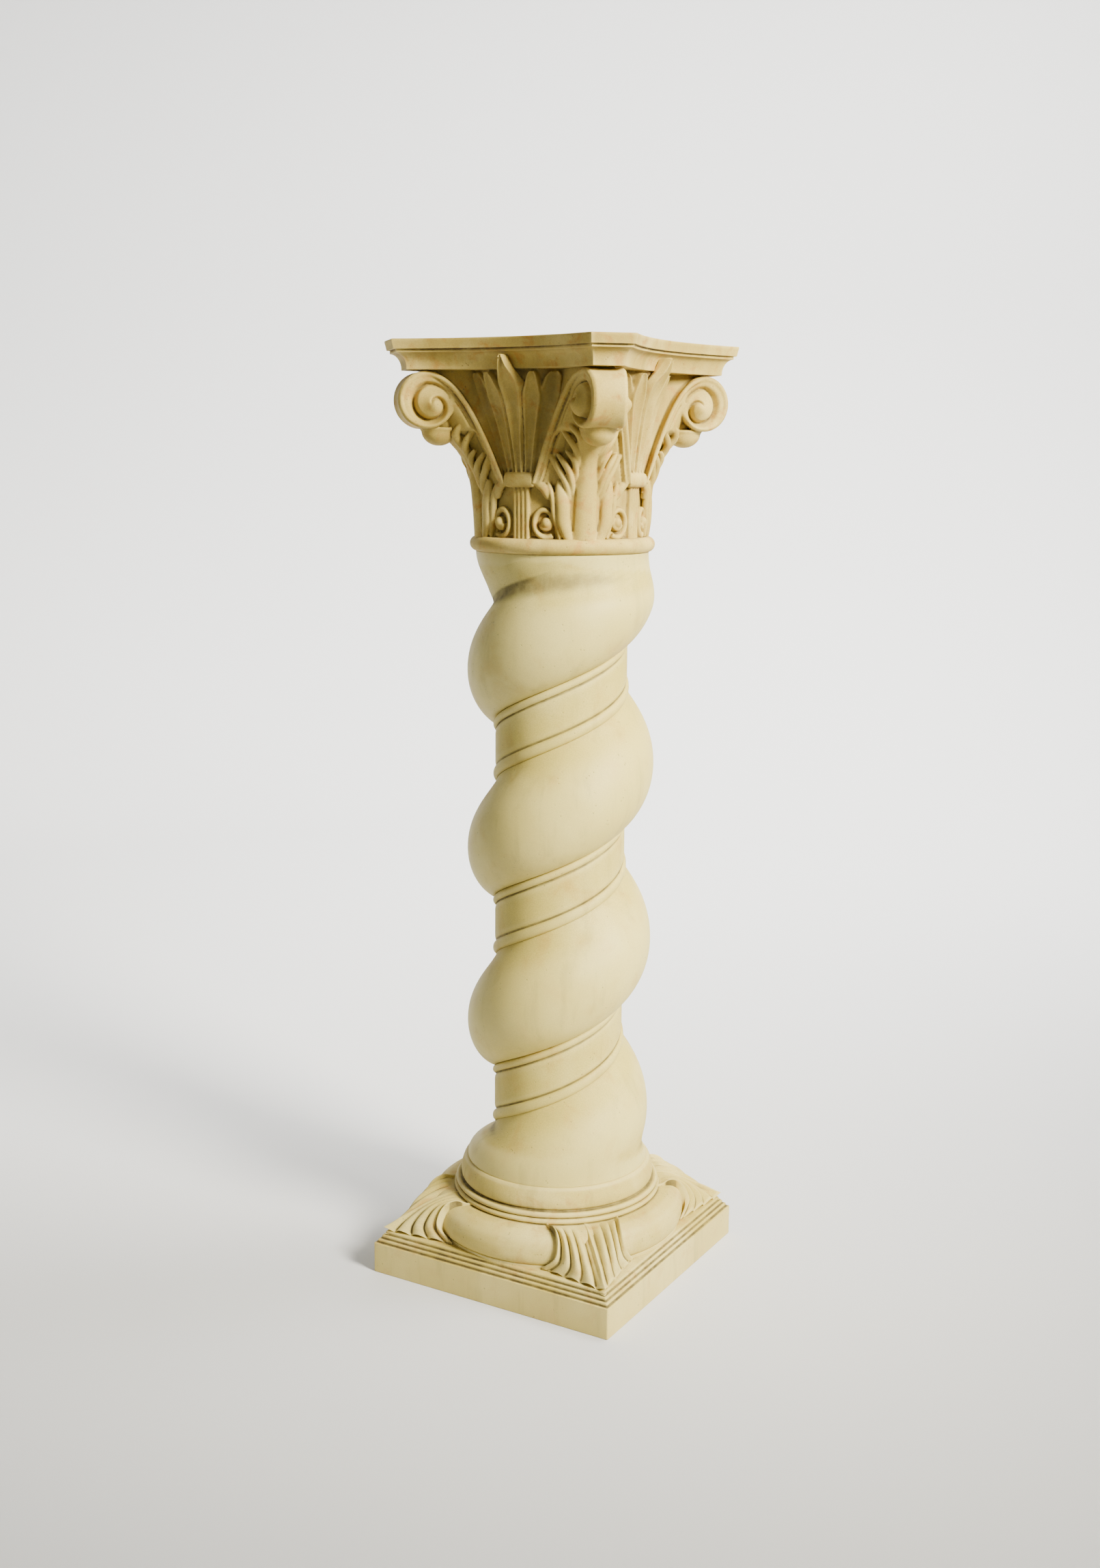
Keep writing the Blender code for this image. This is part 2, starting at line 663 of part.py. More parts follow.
def curls(face, collection):
    """A leaf curl with a ball in it, on each side of the reeds."""
    for side in (-1, 1):
        middle = (face + side * 17.0, 0.105)
        points = []
        radii = []
        knots = 9
        for k in range(knots):
            share = k / (knots - 1)
            angle = math.radians(215 - 420 * share)
            reach = blend(1.0, 0.52, share)
            points.append(on_bell(middle[0] + side * 8.6 * reach * math.cos(angle),
                                  middle[1] + 0.105 * reach * math.sin(angle), 0.002))
            radii.append(0.0034 * blend(1.0, 0.8, share))
        tube("curl", points, radii, collection)
        ball("curl ball", Matrix.Translation(on_bell(middle[0] + side * 0.8, middle[1], 0.003)),
             (0.0048, 0.0048, 0.0048), collection, segments=6, rings=4)


def make_capital(parts, work):
    body = bell(parts)
    abacus(work)
    for corner in CORNERS:
        roll(corner, work)
        web(corner, work)
        cup(corner, work)
        leaf_stem(corner, work)
        leaf_blade(corner, work)
        leaflets(corner, work)
        for side in (-1, 1):
            volute(corner, side, work)
    for face in FACES:
        petals(face, work)
        tie_and_reeds(face, work)
        curls(face, work)
    return united(body, work, 0.46, (COLUMN_HEIGHT - CAPITAL_HEIGHT, COLUMN_HEIGHT))


def main():
    clear_scene()
    parts = new_collection("spiral column")
    work = new_collection("shapes to unite")
    finish(make_base(parts, work), stone("base stone", (0.66, 0.58, 0.36), 0.72))
    finish(make_shaft(parts), stone("shaft stone", (0.70, 0.62, 0.40), 0.68))
    finish(make_capital(parts, work), stone("capital stone", (0.68, 0.60, 0.38), 0.72))
    bpy.data.collections.remove(work)


main()
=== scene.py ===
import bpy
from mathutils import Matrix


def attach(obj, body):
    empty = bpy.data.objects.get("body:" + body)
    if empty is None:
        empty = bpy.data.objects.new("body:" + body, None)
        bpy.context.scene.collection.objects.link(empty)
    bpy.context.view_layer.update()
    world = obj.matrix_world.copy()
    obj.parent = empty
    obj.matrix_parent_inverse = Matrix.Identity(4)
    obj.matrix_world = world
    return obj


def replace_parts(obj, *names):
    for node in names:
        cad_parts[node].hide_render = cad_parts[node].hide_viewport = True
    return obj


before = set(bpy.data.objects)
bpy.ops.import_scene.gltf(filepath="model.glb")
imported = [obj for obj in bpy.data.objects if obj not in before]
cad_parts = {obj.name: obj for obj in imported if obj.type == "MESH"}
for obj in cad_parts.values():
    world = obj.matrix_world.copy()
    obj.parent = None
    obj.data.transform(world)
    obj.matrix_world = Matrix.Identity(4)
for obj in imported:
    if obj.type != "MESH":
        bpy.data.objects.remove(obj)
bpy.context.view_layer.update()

import math

import bmesh
import bpy
import numpy as np
from mathutils import Matrix, Vector

# Metres, in the column's own frame: +Z up, the plinth's sides along X and Y.
# A piece that repeats at a face or a corner is shaped once, with +X outwards, +Y across and +Z up,
# and is then turned to its place.
faceTurns = (0, 90, 180, 270)
cornerTurns = (45, 135, 225, 315)


def smoothPath(knots, count):
    # Catmull-Rom curve: each stretch is the cubic that passes its two knots along their neighbours' chord.
    knots = np.asarray(knots, float)
    padded = np.vstack([2 * knots[0] - knots[1], knots, 2 * knots[-1] - knots[-2]])
    place = np.linspace(0, len(knots) - 1, count)
    index = np.minimum(place.astype(int), len(knots) - 2)
    t = (place - index)[:, None]
    a, b, c, d = (padded[index + k] for k in range(4))
    square = 2 * a - 5 * b + 4 * c - d
    cube = 3 * b - a - 3 * c + d
    return 0.5 * (2 * b + (c - a) * t + square * t ** 2 + cube * t ** 3)


def ease(share):
    # 3x^2 - 2x^3 between 0 and 1, flat outside.
    share = np.clip(share, 0.0, 1.0)
    return share * share * (3 - 2 * share)


def mix(low, high, share):
    return low + (high - low) * share


def joined(x, y, z):
    # Points from their three coordinates, each a number or a grid.
    return np.stack(np.broadcast_arrays(x, y, z), -1)


def turned(points, degrees):
    # Turns points about the column's axis.
    cos, sin = math.cos(math.radians(degrees)), math.sin(math.radians(degrees))
    x, y, z = np.moveaxis(points, -1, 0)
    return joined(x * cos - y * sin, x * sin + y * cos, z)


def mirrored(points):
    return points * np.array((1.0, -1.0, 1.0))


def capped(grid):
    # Adds a row at each end where all points meet in the middle of the end ring.
    first = np.broadcast_to(grid[:1].mean(1, keepdims=True), grid[:1].shape)
    last = np.broadcast_to(grid[-1:].mean(1, keepdims=True), grid[-1:].shape)
    return np.concatenate([first, grid, last])


def slabRings(top, under):
    # Rings round a thick sheet: across its top, and back along its underside.
    return capped(np.concatenate([top, under[:, ::-1]], 1))


def lathe(profile, columns):
    # Turns a profile of (radius, height) points, bottom to top, about Z.
    profile = np.asarray(profile, float)
    angle = np.linspace(0, 2 * math.pi, columns, endpoint=False)
    radius = profile[:, :1]
    height = np.broadcast_to(profile[:, 1:], (len(profile), columns))
    return np.stack([radius * np.cos(angle), radius * np.sin(angle), height], -1)


def arc(middle, radii, first, last, count):
    # Points on an ellipse of (radius, height) values between two angles in degrees.
    angle = np.radians(np.linspace(first, last, count))
    return np.stack([middle[0] + radii[0] * np.cos(angle), middle[1] + radii[1] * np.sin(angle)], -1)


def sweep(path, normals, widths, heights, columns=20, power=2.0):
    # A rod of oval section along a path: across it, the side is the path's direction crossed with the
    # normal. A power above 2 squares the section.
    ahead = np.gradient(path, axis=0)
    ahead /= np.linalg.norm(ahead, axis=1, keepdims=True)
    side = np.cross(ahead, normals)
    side /= np.linalg.norm(side, axis=1, keepdims=True)
    lift = np.cross(side, ahead)
    angle = np.linspace(0, 2 * math.pi, columns, endpoint=False)
    across = np.sign(np.cos(angle)) * np.abs(np.cos(angle)) ** (2 / power)
    up = np.sign(np.sin(angle)) * np.abs(np.sin(angle)) ** (2 / power)
    widths = np.broadcast_to(widths, len(path))[:, None, None]
    heights = np.broadcast_to(heights, len(path))[:, None, None]
    return capped(path[:, None] + side[:, None] * across[None, :, None] * widths
                  + lift[:, None] * up[None, :, None] * heights)


def gridFaces(rows, columns, wrap):
    # Quads between neighbouring rows. Wrapped, the last column is joined to the first.
    number = np.arange(rows * columns).reshape(rows, columns)
    after = np.roll(number, -1, 1) if wrap else number[:, 1:]
    number = number if wrap else number[:, :-1]
    return np.stack([number[:-1], after[:-1], after[1:], number[1:]], -1).reshape(-1, 4)


def enclosed(points, quads):
    # Volume inside a closed skin: a sixth of the sum of the corner products of its triangles.
    a, b, c, d = (points[quads[:, k]] for k in range(4))
    return (np.einsum("ij,ij->", a, np.cross(b, c)) + np.einsum("ij,ij->", a, np.cross(c, d))) / 6


def skinMesh(name, grids, wrap=True):
    # One mesh from closed grids, each turned so that its faces point outwards, with equal points welded.
    points = []
    faces = []
    start = 0
    for grid in grids:
        spots = grid.reshape(-1, 3)
        quads = gridFaces(*grid.shape[:2], wrap)
        if enclosed(spots, quads) < 0:
            quads = quads[:, ::-1]
        points.append(spots)
        faces.append(quads + start)
        start += len(spots)
    mesh = bpy.data.meshes.new(name)
    mesh.from_pydata(np.vstack(points), [], np.vstack(faces).tolist())
    return welded(mesh)


def welded(mesh):
    bm = bmesh.new()
    bm.from_mesh(mesh)
    bmesh.ops.remove_doubles(bm, verts=bm.verts, dist=0.000002)
    bm.to_mesh(mesh)
    bm.free()
    return mesh


def newItem(name, data):
    item = bpy.data.objects.new(name, data)
    bpy.context.scene.collection.objects.link(item)
    return item


def finished(item):
    # The mesh that an object's modifiers give. The object goes.
    bpy.context.view_layer.update()
    made = bpy.data.meshes.new_from_object(item.evaluated_get(bpy.context.evaluated_depsgraph_get()))
    bpy.data.objects.remove(item)
    return made


def fused(mesh, cell, passes):
    # One skin round overlapping shells, on cells of one size, softened as casting softens edges.
    item = newItem("fusing", mesh)
    skin = item.modifiers.new("skin", "REMESH")
    skin.mode = "VOXEL"
    skin.voxel_size = cell
    skin.adaptivity = 0.0
    soft = item.modifiers.new("soft", "SMOOTH")
    soft.factor = 0.5
    soft.iterations = passes
    return finished(item)


def thinned(mesh, keep):
    # Fewer triangles where the skin is plain. The marks stay with their points.
    item = newItem("thinning", mesh)
    item.modifiers.new("fewer", "DECIMATE").ratio = keep
    return finished(item)


def meshPoints(mesh):
    points = np.empty(len(mesh.vertices) * 3)
    mesh.vertices.foreach_get("co", points)
    return points.reshape(-1, 3)


def markShadeAndWear(mesh, passes, depth):
    # Compares each point with the average of those around it, spread over several passes. Where the
    # average stands outside the skin the point is in a hollow, and where it lies inside it is on an edge.
    # The hollow mark later darkens the colour, as dirt and as painted shade in recesses; the edge mark
    # lightens it as rubbed wear.
    points = meshPoints(mesh)
    edges = np.empty(len(mesh.edges) * 2, int)
    mesh.edges.foreach_get("vertices", edges)
    a, b = edges.reshape(-1, 2).T
    count = np.maximum(np.bincount(np.concatenate([a, b]), minlength=len(points)), 1)[:, None]
    normals = np.empty(len(points) * 3)
    mesh.vertices.foreach_get("normal", normals)
    spread = points.copy()
    for _ in range(passes):
        total = np.stack([np.bincount(a, spread[b, k], len(points))
                          + np.bincount(b, spread[a, k], len(points)) for k in range(3)], -1)
        spread = 0.5 * (spread + total / count)
    height = ((spread - points) * normals.reshape(-1, 3)).sum(1) / depth
    for title, value in (("hollow", height), ("edge", -height)):
        mark = mesh.attributes.new(title, "FLOAT", "POINT")
        mark.data.foreach_set("value", np.clip(value, 0, 1).astype(np.float32))


def place(mesh, material, slot, angle=50):
    # Puts a finished mesh in the scene, riding on the column.
    mesh.shade_smooth()
    mesh.set_sharp_from_angle(angle=math.radians(angle))
    mesh.materials.clear()
    mesh.materials.append(material)
    item = newItem(mesh.name, mesh)
    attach(item, "root")
    return item


def repeated(name, mesh, turns, material, slot, angle=50):
    # Copies of one mesh, turned to each place.
    points = meshPoints(mesh)
    for degrees in turns:
        copy = mesh.copy()
        copy.name = f"{name}_{degrees}"
        copy.vertices.foreach_set("co", turned(points, degrees).ravel())
        copy.update()
        place(copy, material, slot, angle)


# Stone: one look for the three castings, from shared effects.

def newGroup(name, inputs, outputs):
    # An empty shader group with named sockets: inputs are (name, kind, value), outputs (name, kind).
    group = bpy.data.node_groups.new(name, "ShaderNodeTree")
    for title, kind, value in inputs:
        socket = group.interface.new_socket(name=title, in_out="INPUT", socket_type=kind)
        if value is not None:
            socket.default_value = value
    for title, kind in outputs:
        group.interface.new_socket(name=title, in_out="OUTPUT", socket_type=kind)
    return group, group.nodes.new("NodeGroupInput"), group.nodes.new("NodeGroupOutput")


def feed(tree, socket, value):
    # Links another node's socket, or sets a plain value.
    if isinstance(value, bpy.types.NodeSocket):
        tree.links.new(value, socket)
    else:
        socket.default_value = value


def addNode(tree, kind, settings=None, values=None):
    node = tree.nodes.new(kind)
    for title, value in (settings or {}).items():
        setattr(node, title, value)
    for title, value in (values or {}).items():
        feed(tree, node.inputs[title], value)
    return node


def addNoise(tree, vector, scale, detail, roughness=0.55, distortion=0.0):
    return addNode(tree, "ShaderNodeTexNoise", values={
        "Vector": vector, "Scale": scale, "Detail": detail, "Roughness": roughness, "Distortion": distortion})


def addSpan(tree, value, low, high, toLow=0.0, toHigh=1.0):
    # Maps a value from one span to another, held at its ends.
    node = addNode(tree, "ShaderNodeMapRange", {"interpolation_type": "SMOOTHSTEP"}, {
        "Value": value, "From Min": low, "From Max": high, "To Min": toLow, "To Max": toHigh})
    return node.outputs["Result"]


def addMath(tree, operation, first, second, clamp=False):
    node = addNode(tree, "ShaderNodeMath", {"operation": operation, "use_clamp": clamp})
    for socket, value in zip(node.inputs, (first, second)):
        feed(tree, socket, value)
    return node.outputs["Value"]


def addProduct(tree, first, second):
    return addMath(tree, "MULTIPLY", first, second)


def addTint(tree, share, base, over, kind="MIX"):
    node = addNode(tree, "ShaderNodeMix", {"data_type": "RGBA", "blend_type": kind})
    for index, value in ((0, share), (6, base), (7, over)):
        feed(tree, node.inputs[index], value)
    return node.outputs[2]


def buildMottle():
    # Soft clouds and fine flecks that shift the stone between its light, plain and warm tones.
    tree, given, out = newGroup("stoneMottle", (
        ("Vector", "NodeSocketVector", None), ("Plain", "NodeSocketColor", (0.7, 0.6, 0.4, 1)),
        ("Light", "NodeSocketColor", (0.8, 0.75, 0.55, 1)), ("Warm", "NodeSocketColor", (0.7, 0.5, 0.25, 1)),
        ("Cloud scale", "NodeSocketFloat", 9.0), ("Strength", "NodeSocketFloat", 0.5)),
        (("Color", "NodeSocketColor"),))
    vector = given.outputs["Vector"]
    cloud = addNoise(tree, vector, given.outputs["Cloud scale"], 4.0)
    patch = addNoise(tree, vector, addProduct(tree, given.outputs["Cloud scale"], 3.7), 5.0, 0.6, 0.4)
    fleck = addNoise(tree, vector, 900.0, 2.0)
    light = addProduct(tree, addSpan(tree, cloud.outputs["Fac"], 0.42, 0.68), given.outputs["Strength"])
    warm = addProduct(tree, addSpan(tree, patch.outputs["Fac"], 0.50, 0.74), given.outputs["Strength"])
    colour = addTint(tree, light, given.outputs["Plain"], given.outputs["Light"])
    colour = addTint(tree, warm, colour, given.outputs["Warm"])
    grain = addSpan(tree, fleck.outputs["Fac"], 0.30, 0.70, 0.90, 1.08)
    shade = addNode(tree, "ShaderNodeCombineColor", values={"Red": grain, "Green": grain, "Blue": grain})
    tree.links.new(addTint(tree, 1.0, colour, shade.outputs["Color"], "MULTIPLY"), out.inputs["Color"])
    return tree


def buildShadeAndGrime():
    # Painted shade and settled dirt: darker in hollows (dirt and painted shade), in sheltered places
    # (painted shade) and in broken streaks of dirt below them.
    tree, given, out = newGroup("paintedShadeAndGrime", (
        ("Vector", "NodeSocketVector", None), ("Hollow", "NodeSocketFloat", 0.0),
        ("Occlusion shade", "NodeSocketFloat", 0.0), ("Streak", "NodeSocketFloat", 0.2)),
        (("Mask", "NodeSocketFloat"),))
    vector = given.outputs["Vector"]
    broken = addNoise(tree, vector, 60.0, 6.0, 0.65)
    long = addNode(tree, "ShaderNodeMapping", values={"Vector": vector, "Scale": (1.0, 1.0, 0.12)})
    streak = addNoise(tree, long.outputs["Vector"], 55.0, 4.0, 0.6)
    uneven = addSpan(tree, broken.outputs["Fac"], 0.25, 0.70, 0.55, 1.0)
    hollow = addProduct(tree, addSpan(tree, given.outputs["Hollow"], 0.04, 0.60), uneven)
    occlusionShade = addProduct(tree, given.outputs["Occlusion shade"], uneven)
    lines = addProduct(tree, addSpan(tree, streak.outputs["Fac"], 0.52, 0.72), given.outputs["Streak"])
    mask = addMath(tree, "ADD", addMath(tree, "MAXIMUM", hollow, occlusionShade), lines, True)
    tree.links.new(mask, out.inputs["Mask"])
    return tree


def buildGrain():
    # Height of a cast surface: sand grain, small air holes and a slow unevenness.
    tree, given, out = newGroup("castGrain", (
        ("Vector", "NodeSocketVector", None), ("Grain", "NodeSocketFloat", 1.0),
        ("Pits", "NodeSocketFloat", 1.0)), (("Height", "NodeSocketFloat"), ("Pit mask", "NodeSocketFloat")))
    vector = given.outputs["Vector"]
    sand = addNoise(tree, vector, 1400.0, 3.0, 0.7)
    wave = addNoise(tree, vector, 38.0, 4.0, 0.5)
    cells = addNode(tree, "ShaderNodeTexVoronoi", values={
        "Vector": vector, "Scale": 210.0, "Randomness": 1.0})
    rare = addNoise(tree, vector, 70.0, 2.0)
    hole = addSpan(tree, cells.outputs["Distance"], 0.10, 0.24, 1.0, 0.0)
    few = addProduct(tree, hole, addSpan(tree, rare.outputs["Fac"], 0.56, 0.66))
    pits = addProduct(tree, few, given.outputs["Pits"])
    height = addProduct(tree, sand.outputs["Fac"], addProduct(tree, given.outputs["Grain"], 0.16))
    height = addMath(tree, "ADD", height, addProduct(tree, wave.outputs["Fac"], 0.9))
    height = addMath(tree, "SUBTRACT", height, addProduct(tree, pits, 0.5))
    tree.links.new(height, out.inputs["Height"])
    tree.links.new(pits, out.inputs["Pit mask"])
    return tree


mottleGroup = buildMottle()
shadeAndGrimeGroup = buildShadeAndGrime()
grainGroup = buildGrain()
print("stone effects built")

# The base's and capital's looks are darker than the shaft's as painted shade, for the dimmer light on the
# plinth and the abacus.
stoneLooks = {
    "base": {"plain": (0.50, 0.385, 0.082), "light": (0.66, 0.55, 0.19), "warm": (0.45, 0.265, 0.052),
             "shadeAndGrime": (0.11, 0.082, 0.024), "cloud": 11.0, "mottle": 0.80, "streak": 0.20, "shadeAndSoil": 0.94,
             "pits": 0.45, "rough": 0.74},
    "shaft": {"plain": (0.545, 0.435, 0.095), "light": (0.69, 0.585, 0.195), "warm": (0.50, 0.335, 0.062),
              "shadeAndGrime": (0.14, 0.108, 0.034), "cloud": 7.0, "mottle": 0.75, "streak": 0.17, "shadeAndSoil": 0.94,
              "pits": 0.45, "rough": 0.66},
    "capital": {"plain": (0.48, 0.345, 0.070), "light": (0.64, 0.49, 0.140), "warm": (0.46, 0.240, 0.040),
                "shadeAndGrime": (0.095, 0.060, 0.017), "cloud": 16.0, "mottle": 0.85, "streak": 0.16, "shadeAndSoil": 0.94,
                "pits": 0.45, "rough": 0.74},
}


def castStone(name, look):
    material = bpy.data.materials.new(name)
    material.use_nodes = True
    tree = material.node_tree
    shader = tree.nodes["Principled BSDF"]
    shader.inputs["Specular IOR Level"].default_value = 0.35
    shader.inputs["Metallic"].default_value = 0.0
    vector = addNode(tree, "ShaderNodeTexCoord").outputs["Object"]
    marks = {title: addNode(tree, "ShaderNodeAttribute", {"attribute_name": title}).outputs["Fac"]
             for title in ("hollow", "edge", "occlusionShade")}
    mottle = addNode(tree, "ShaderNodeGroup", {"node_tree": mottleGroup}, {
        "Vector": vector, "Plain": (*look["plain"], 1), "Light": (*look["light"], 1),
        "Warm": (*look["warm"], 1), "Cloud scale": look["cloud"], "Strength": look["mottle"]})
    shadeAndGrime = addNode(tree, "ShaderNodeGroup", {"node_tree": shadeAndGrimeGroup}, {
        "Vector": vector, "Hollow": marks["hollow"], "Occlusion shade": marks["occlusionShade"], "Streak": look["streak"]})
    grain = addNode(tree, "ShaderNodeGroup", {"node_tree": grainGroup}, {"Vector": vector})
    rub = addProduct(tree, addSpan(tree, marks["edge"], 0.15, 0.9), 0.55)
    colour = addTint(tree, rub, mottle.outputs["Color"], (*look["light"], 1))
    # The dark grime colour is mixed in as painted shade in hollows and sheltered places, and as dirt streaks
    # and air-hole pits.
    shadeAndSoil = addMath(tree, "MAXIMUM", addProduct(tree, shadeAndGrime.outputs["Mask"], look["shadeAndSoil"]),
                   addProduct(tree, grain.outputs["Pit mask"], look["pits"]))
    colour = addTint(tree, shadeAndSoil, colour, (*look["shadeAndGrime"], 1))
    tree.links.new(colour, shader.inputs["Base Color"])
    rough = addSpan(tree, rub, 0.0, 0.5, look["rough"], look["rough"] - 0.12)
    tree.links.new(addMath(tree, "ADD", rough, addProduct(tree, shadeAndGrime.outputs["Mask"], 0.14), True),
                   shader.inputs["Roughness"])
    bump = addNode(tree, "ShaderNodeBump", values={
        "Strength": 0.35, "Distance": 0.0016, "Height": grain.outputs["Height"]})
    tree.links.new(bump.outputs["Normal"], shader.inputs["Normal"])
    return material


baseStone = castStone("pale cast stone of the base", stoneLooks["base"])
shaftStone = castStone("pale cast stone of the shaft", stoneLooks["shaft"])
capitalStone = castStone("pale cast stone of the capital", stoneLooks["capital"])


# Base: a stepped plinth, a torus with leaf spurs, two rings and a drum.

baseSizes = {
    "half": 0.150, "fascia": 0.0345, "stepRise": 0.0042, "stepSetback": 0.0032, "steps": 3, "arris": 0.0009,
    "torusMiddle": 0.117, "torusDepth": 0.027, "torusHeight": 0.036, "footHeight": 0.003, "footRadius": 0.140,
    "lowRing": 0.117, "highRing": 0.115, "ringHeight": 0.0062, "drum": 0.1078, "shaftFoot": 0.1018,
    "top": 0.123, "cornerRadius": 0.0016, "plinthShadeAndWear": (3, 0.0007), "roundShadeAndWear": (14, 0.0006),
    # Torus: shares of its depth out from the middle and of its height. Drum: metres out, share of height.
    "torusCurve": ((0.815, 0.0), (0.930, 0.10), (0.990, 0.24), (1.0, 0.40), (0.955, 0.60), (0.80, 0.80),
                   (0.50, 0.945), (0.16, 0.995), (0.02, 1.0)),
    "drumCurve": ((-0.0012, 0.0), (0.0006, 0.10), (0.0012, 0.26), (0.0008, 0.48), (-0.0006, 0.70),
                  (-0.0024, 0.88), (-0.0044, 0.985))}
plinthTop = baseSizes["fascia"] + baseSizes["steps"] * baseSizes["stepRise"]
torusFoot = plinthTop + baseSizes["footHeight"]
torusTop = torusFoot + baseSizes["torusHeight"]


def squareRings(halves, heights, radius, perSide=36, perCorner=8):
    # A rounded square at each level: each corner's circle slides along the sides between the corners.
    turn = np.linspace(0, math.pi / 2, perCorner)
    slide = np.linspace(1, -1, perSide)[1:-1]
    signs = []
    arcs = []
    for quarter in range(4):
        angle = quarter * math.pi / 2
        quarterTurn = np.array(((math.cos(angle), -math.sin(angle)), (math.sin(angle), math.cos(angle))))
        corner = np.stack([np.cos(turn), np.sin(turn)], -1)
        signs.append(np.tile((1.0, 1.0), (perCorner, 1)) @ quarterTurn.T)
        arcs.append(corner @ quarterTurn.T)
        signs.append(np.stack([slide, np.ones_like(slide)], -1) @ quarterTurn.T)
        arcs.append(np.tile((0.0, 1.0), (len(slide), 1)) @ quarterTurn.T)
    signs = np.vstack(signs)
    arcs = np.vstack(arcs)
    halves = np.asarray(halves)[:, None, None]
    bend = np.minimum(radius, halves)
    plan = signs * (halves - bend) + arcs * bend
    height = np.broadcast_to(np.asarray(heights)[:, None, None], plan.shape[:2] + (1,))
    return np.concatenate([plan, height], -1)


def plinthMesh(size):
    # Profile of (distance in from the side, height): the fascia, then small rounded steps, then the top.
    r = size["arris"]
    profile = [np.array([(size["half"] - 0.002, 0.0)]), arc((r, r), (r, r), 270, 180, 6),
               arc((r, size["fascia"] - r), (r, r), 180, 90, 6)]
    for step in range(size["steps"]):
        inset = (step + 1) * size["stepSetback"]
        top = size["fascia"] + (step + 1) * size["stepRise"]
        profile.append(np.array([(inset, top - size["stepRise"] + 0.0001)]))
        profile.append(arc((inset + 1.6 * r, top - 1.6 * r), (1.6 * r, 1.6 * r), 180, 90, 8))
    profile.append(np.array([(share * size["half"], plinthTop) for share in (0.12, 0.3, 0.6, 0.98)]))
    inset, height = np.vstack(profile).T
    return skinMesh("plinth", [capped(squareRings(size["half"] - inset, height, size["cornerRadius"]))])


def roundBaseMesh(size):
    ring = size["ringHeight"]
    bead = ring / 2
    low = torusTop + 2 * ring
    profile = np.vstack([
        [(0.05, plinthTop - 0.003), (size["footRadius"], plinthTop - 0.003)],
        arc((size["footRadius"] - 0.0008, torusFoot - 0.0008), (0.0008, 0.0008), 0, 90, 5),
        [(size["footRadius"] - 0.0022, torusFoot + 0.0002)],
        smoothPath([(size["torusMiddle"] + share * size["torusDepth"], torusFoot + rise * size["torusHeight"])
                    for share, rise in size["torusCurve"]], 48),
        arc((size["lowRing"] - bead, torusTop + bead), (bead, 0.92 * bead), -75, 75, 14),
        arc((size["highRing"] - bead, torusTop + ring + bead), (bead, 0.92 * bead), -72, 84, 14),
        [(size["drum"] - 0.0006, low - 0.0006), (size["drum"] - 0.0010, low + 0.0004)],
        smoothPath([(size["drum"] + share, mix(low + 0.0006, size["top"], rise))
                    for share, rise in size["drumCurve"]], 26),
        [(size["shaftFoot"], size["top"]), (0.04, size["top"])]])
    return skinMesh("round_base", [capped(lathe(profile, 224))])


spurSizes = {
    "reach": 0.115, "tip": 0.1990, "halfWidth": 0.052, "rise": 0.0415, "bulge": 0.0060, "rib": 0.0034,
    "ribs": 4, "rim": 0.0042, "crease": 0.0042, "shadeAndWear": (10, 0.0006),
    "crest": ((-0.10, 0.0, 0.90), (0.0, 0.0, 0.90), (0.16, 0.0, 0.84), (0.37, 0.0, 0.64),
              (0.60, 0.0, 0.40), (0.81, 0.0, 0.21), (1.0, 0.0, 0.05)),
    "side": ((-0.14, 0.80, 0.90), (-0.035, 0.78, 0.95), (0.08, 0.73, 1.02), (0.19, 0.69, 0.93),
             (0.285, 0.70, 0.68), (0.32, 0.78, 0.34), (0.20, 1.0, 0.02))}


def spurMesh(size):
    # A leaf from the ring down to the plinth's corner. Across it, each point lies between the crest's
    # curve and the side's curve. It bulges between them, and carries ribs that deepen downwards, a crease
    # along the crest, and a raised rim at each side.
    rows, columns = 72, 121
    along = np.linspace(0, 1, rows)[:, None]
    turn = np.linspace(-1, 1, columns)[None, :]
    crest = smoothPath(size["crest"], rows)[:, None, :]
    side = smoothPath(size["side"], rows)[:, None, :]
    away = np.abs(turn)
    out, across, up = np.moveaxis(mix(crest, side, away[..., None]), -1, 0)
    bulge = size["bulge"] * np.sin(math.pi * away) * np.sin(math.pi * along ** 1.25)
    phase = away * size["ribs"] * 2 * math.pi
    deepen = ease((along - 0.12) / 0.5)
    rib = size["rib"] * deepen * (np.abs(np.cos(phase / 2)) ** 0.7 * 2 - 1.1) * ease((1 - away) / 0.08 + 0.2)
    rim = size["rim"] * np.exp(-((away - 0.945) / 0.050) ** 2) * ease((1.02 - along) / 0.2)
    crease = size["crease"] * (ease((turn + 0.05) / 0.07) * np.exp(-np.maximum(turn - 0.02, 0) / 0.25) - 0.35)
    crease = crease * ease(along / 0.2) * ease((1.05 - along) / 0.3)
    lift = rib + rim + crease
    s = mix(size["reach"], size["tip"], out) + bulge + 0.55 * lift
    t = np.sign(turn) * (size["halfWidth"] * across + 0.5 * bulge + 0.25 * lift * away)
    z = plinthTop + size["rise"] * up + 0.5 * bulge + 0.8 * lift
    z = np.maximum(z, plinthTop - 0.001)
    top = joined(s, t, z)
    under = top.copy()
    under[..., 2] = plinthTop - 0.003
    return skinMesh("spur", [slabRings(top, under)])


plinthSkin = plinthMesh(baseSizes)
markShadeAndWear(plinthSkin, *baseSizes["plinthShadeAndWear"])
place(plinthSkin, baseStone, "base_stone", 60)
roundSkin = roundBaseMesh(baseSizes)
markShadeAndWear(roundSkin, *baseSizes["roundShadeAndWear"])
baseItem = place(roundSkin, baseStone, "base_stone", 60)
spurSkin = spurMesh(spurSizes)
markShadeAndWear(spurSkin, *spurSizes["shadeAndWear"])
repeated("spur", spurSkin, cornerTurns, baseStone, "base_stone", 60)
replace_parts(baseItem, "base")
print("base built")


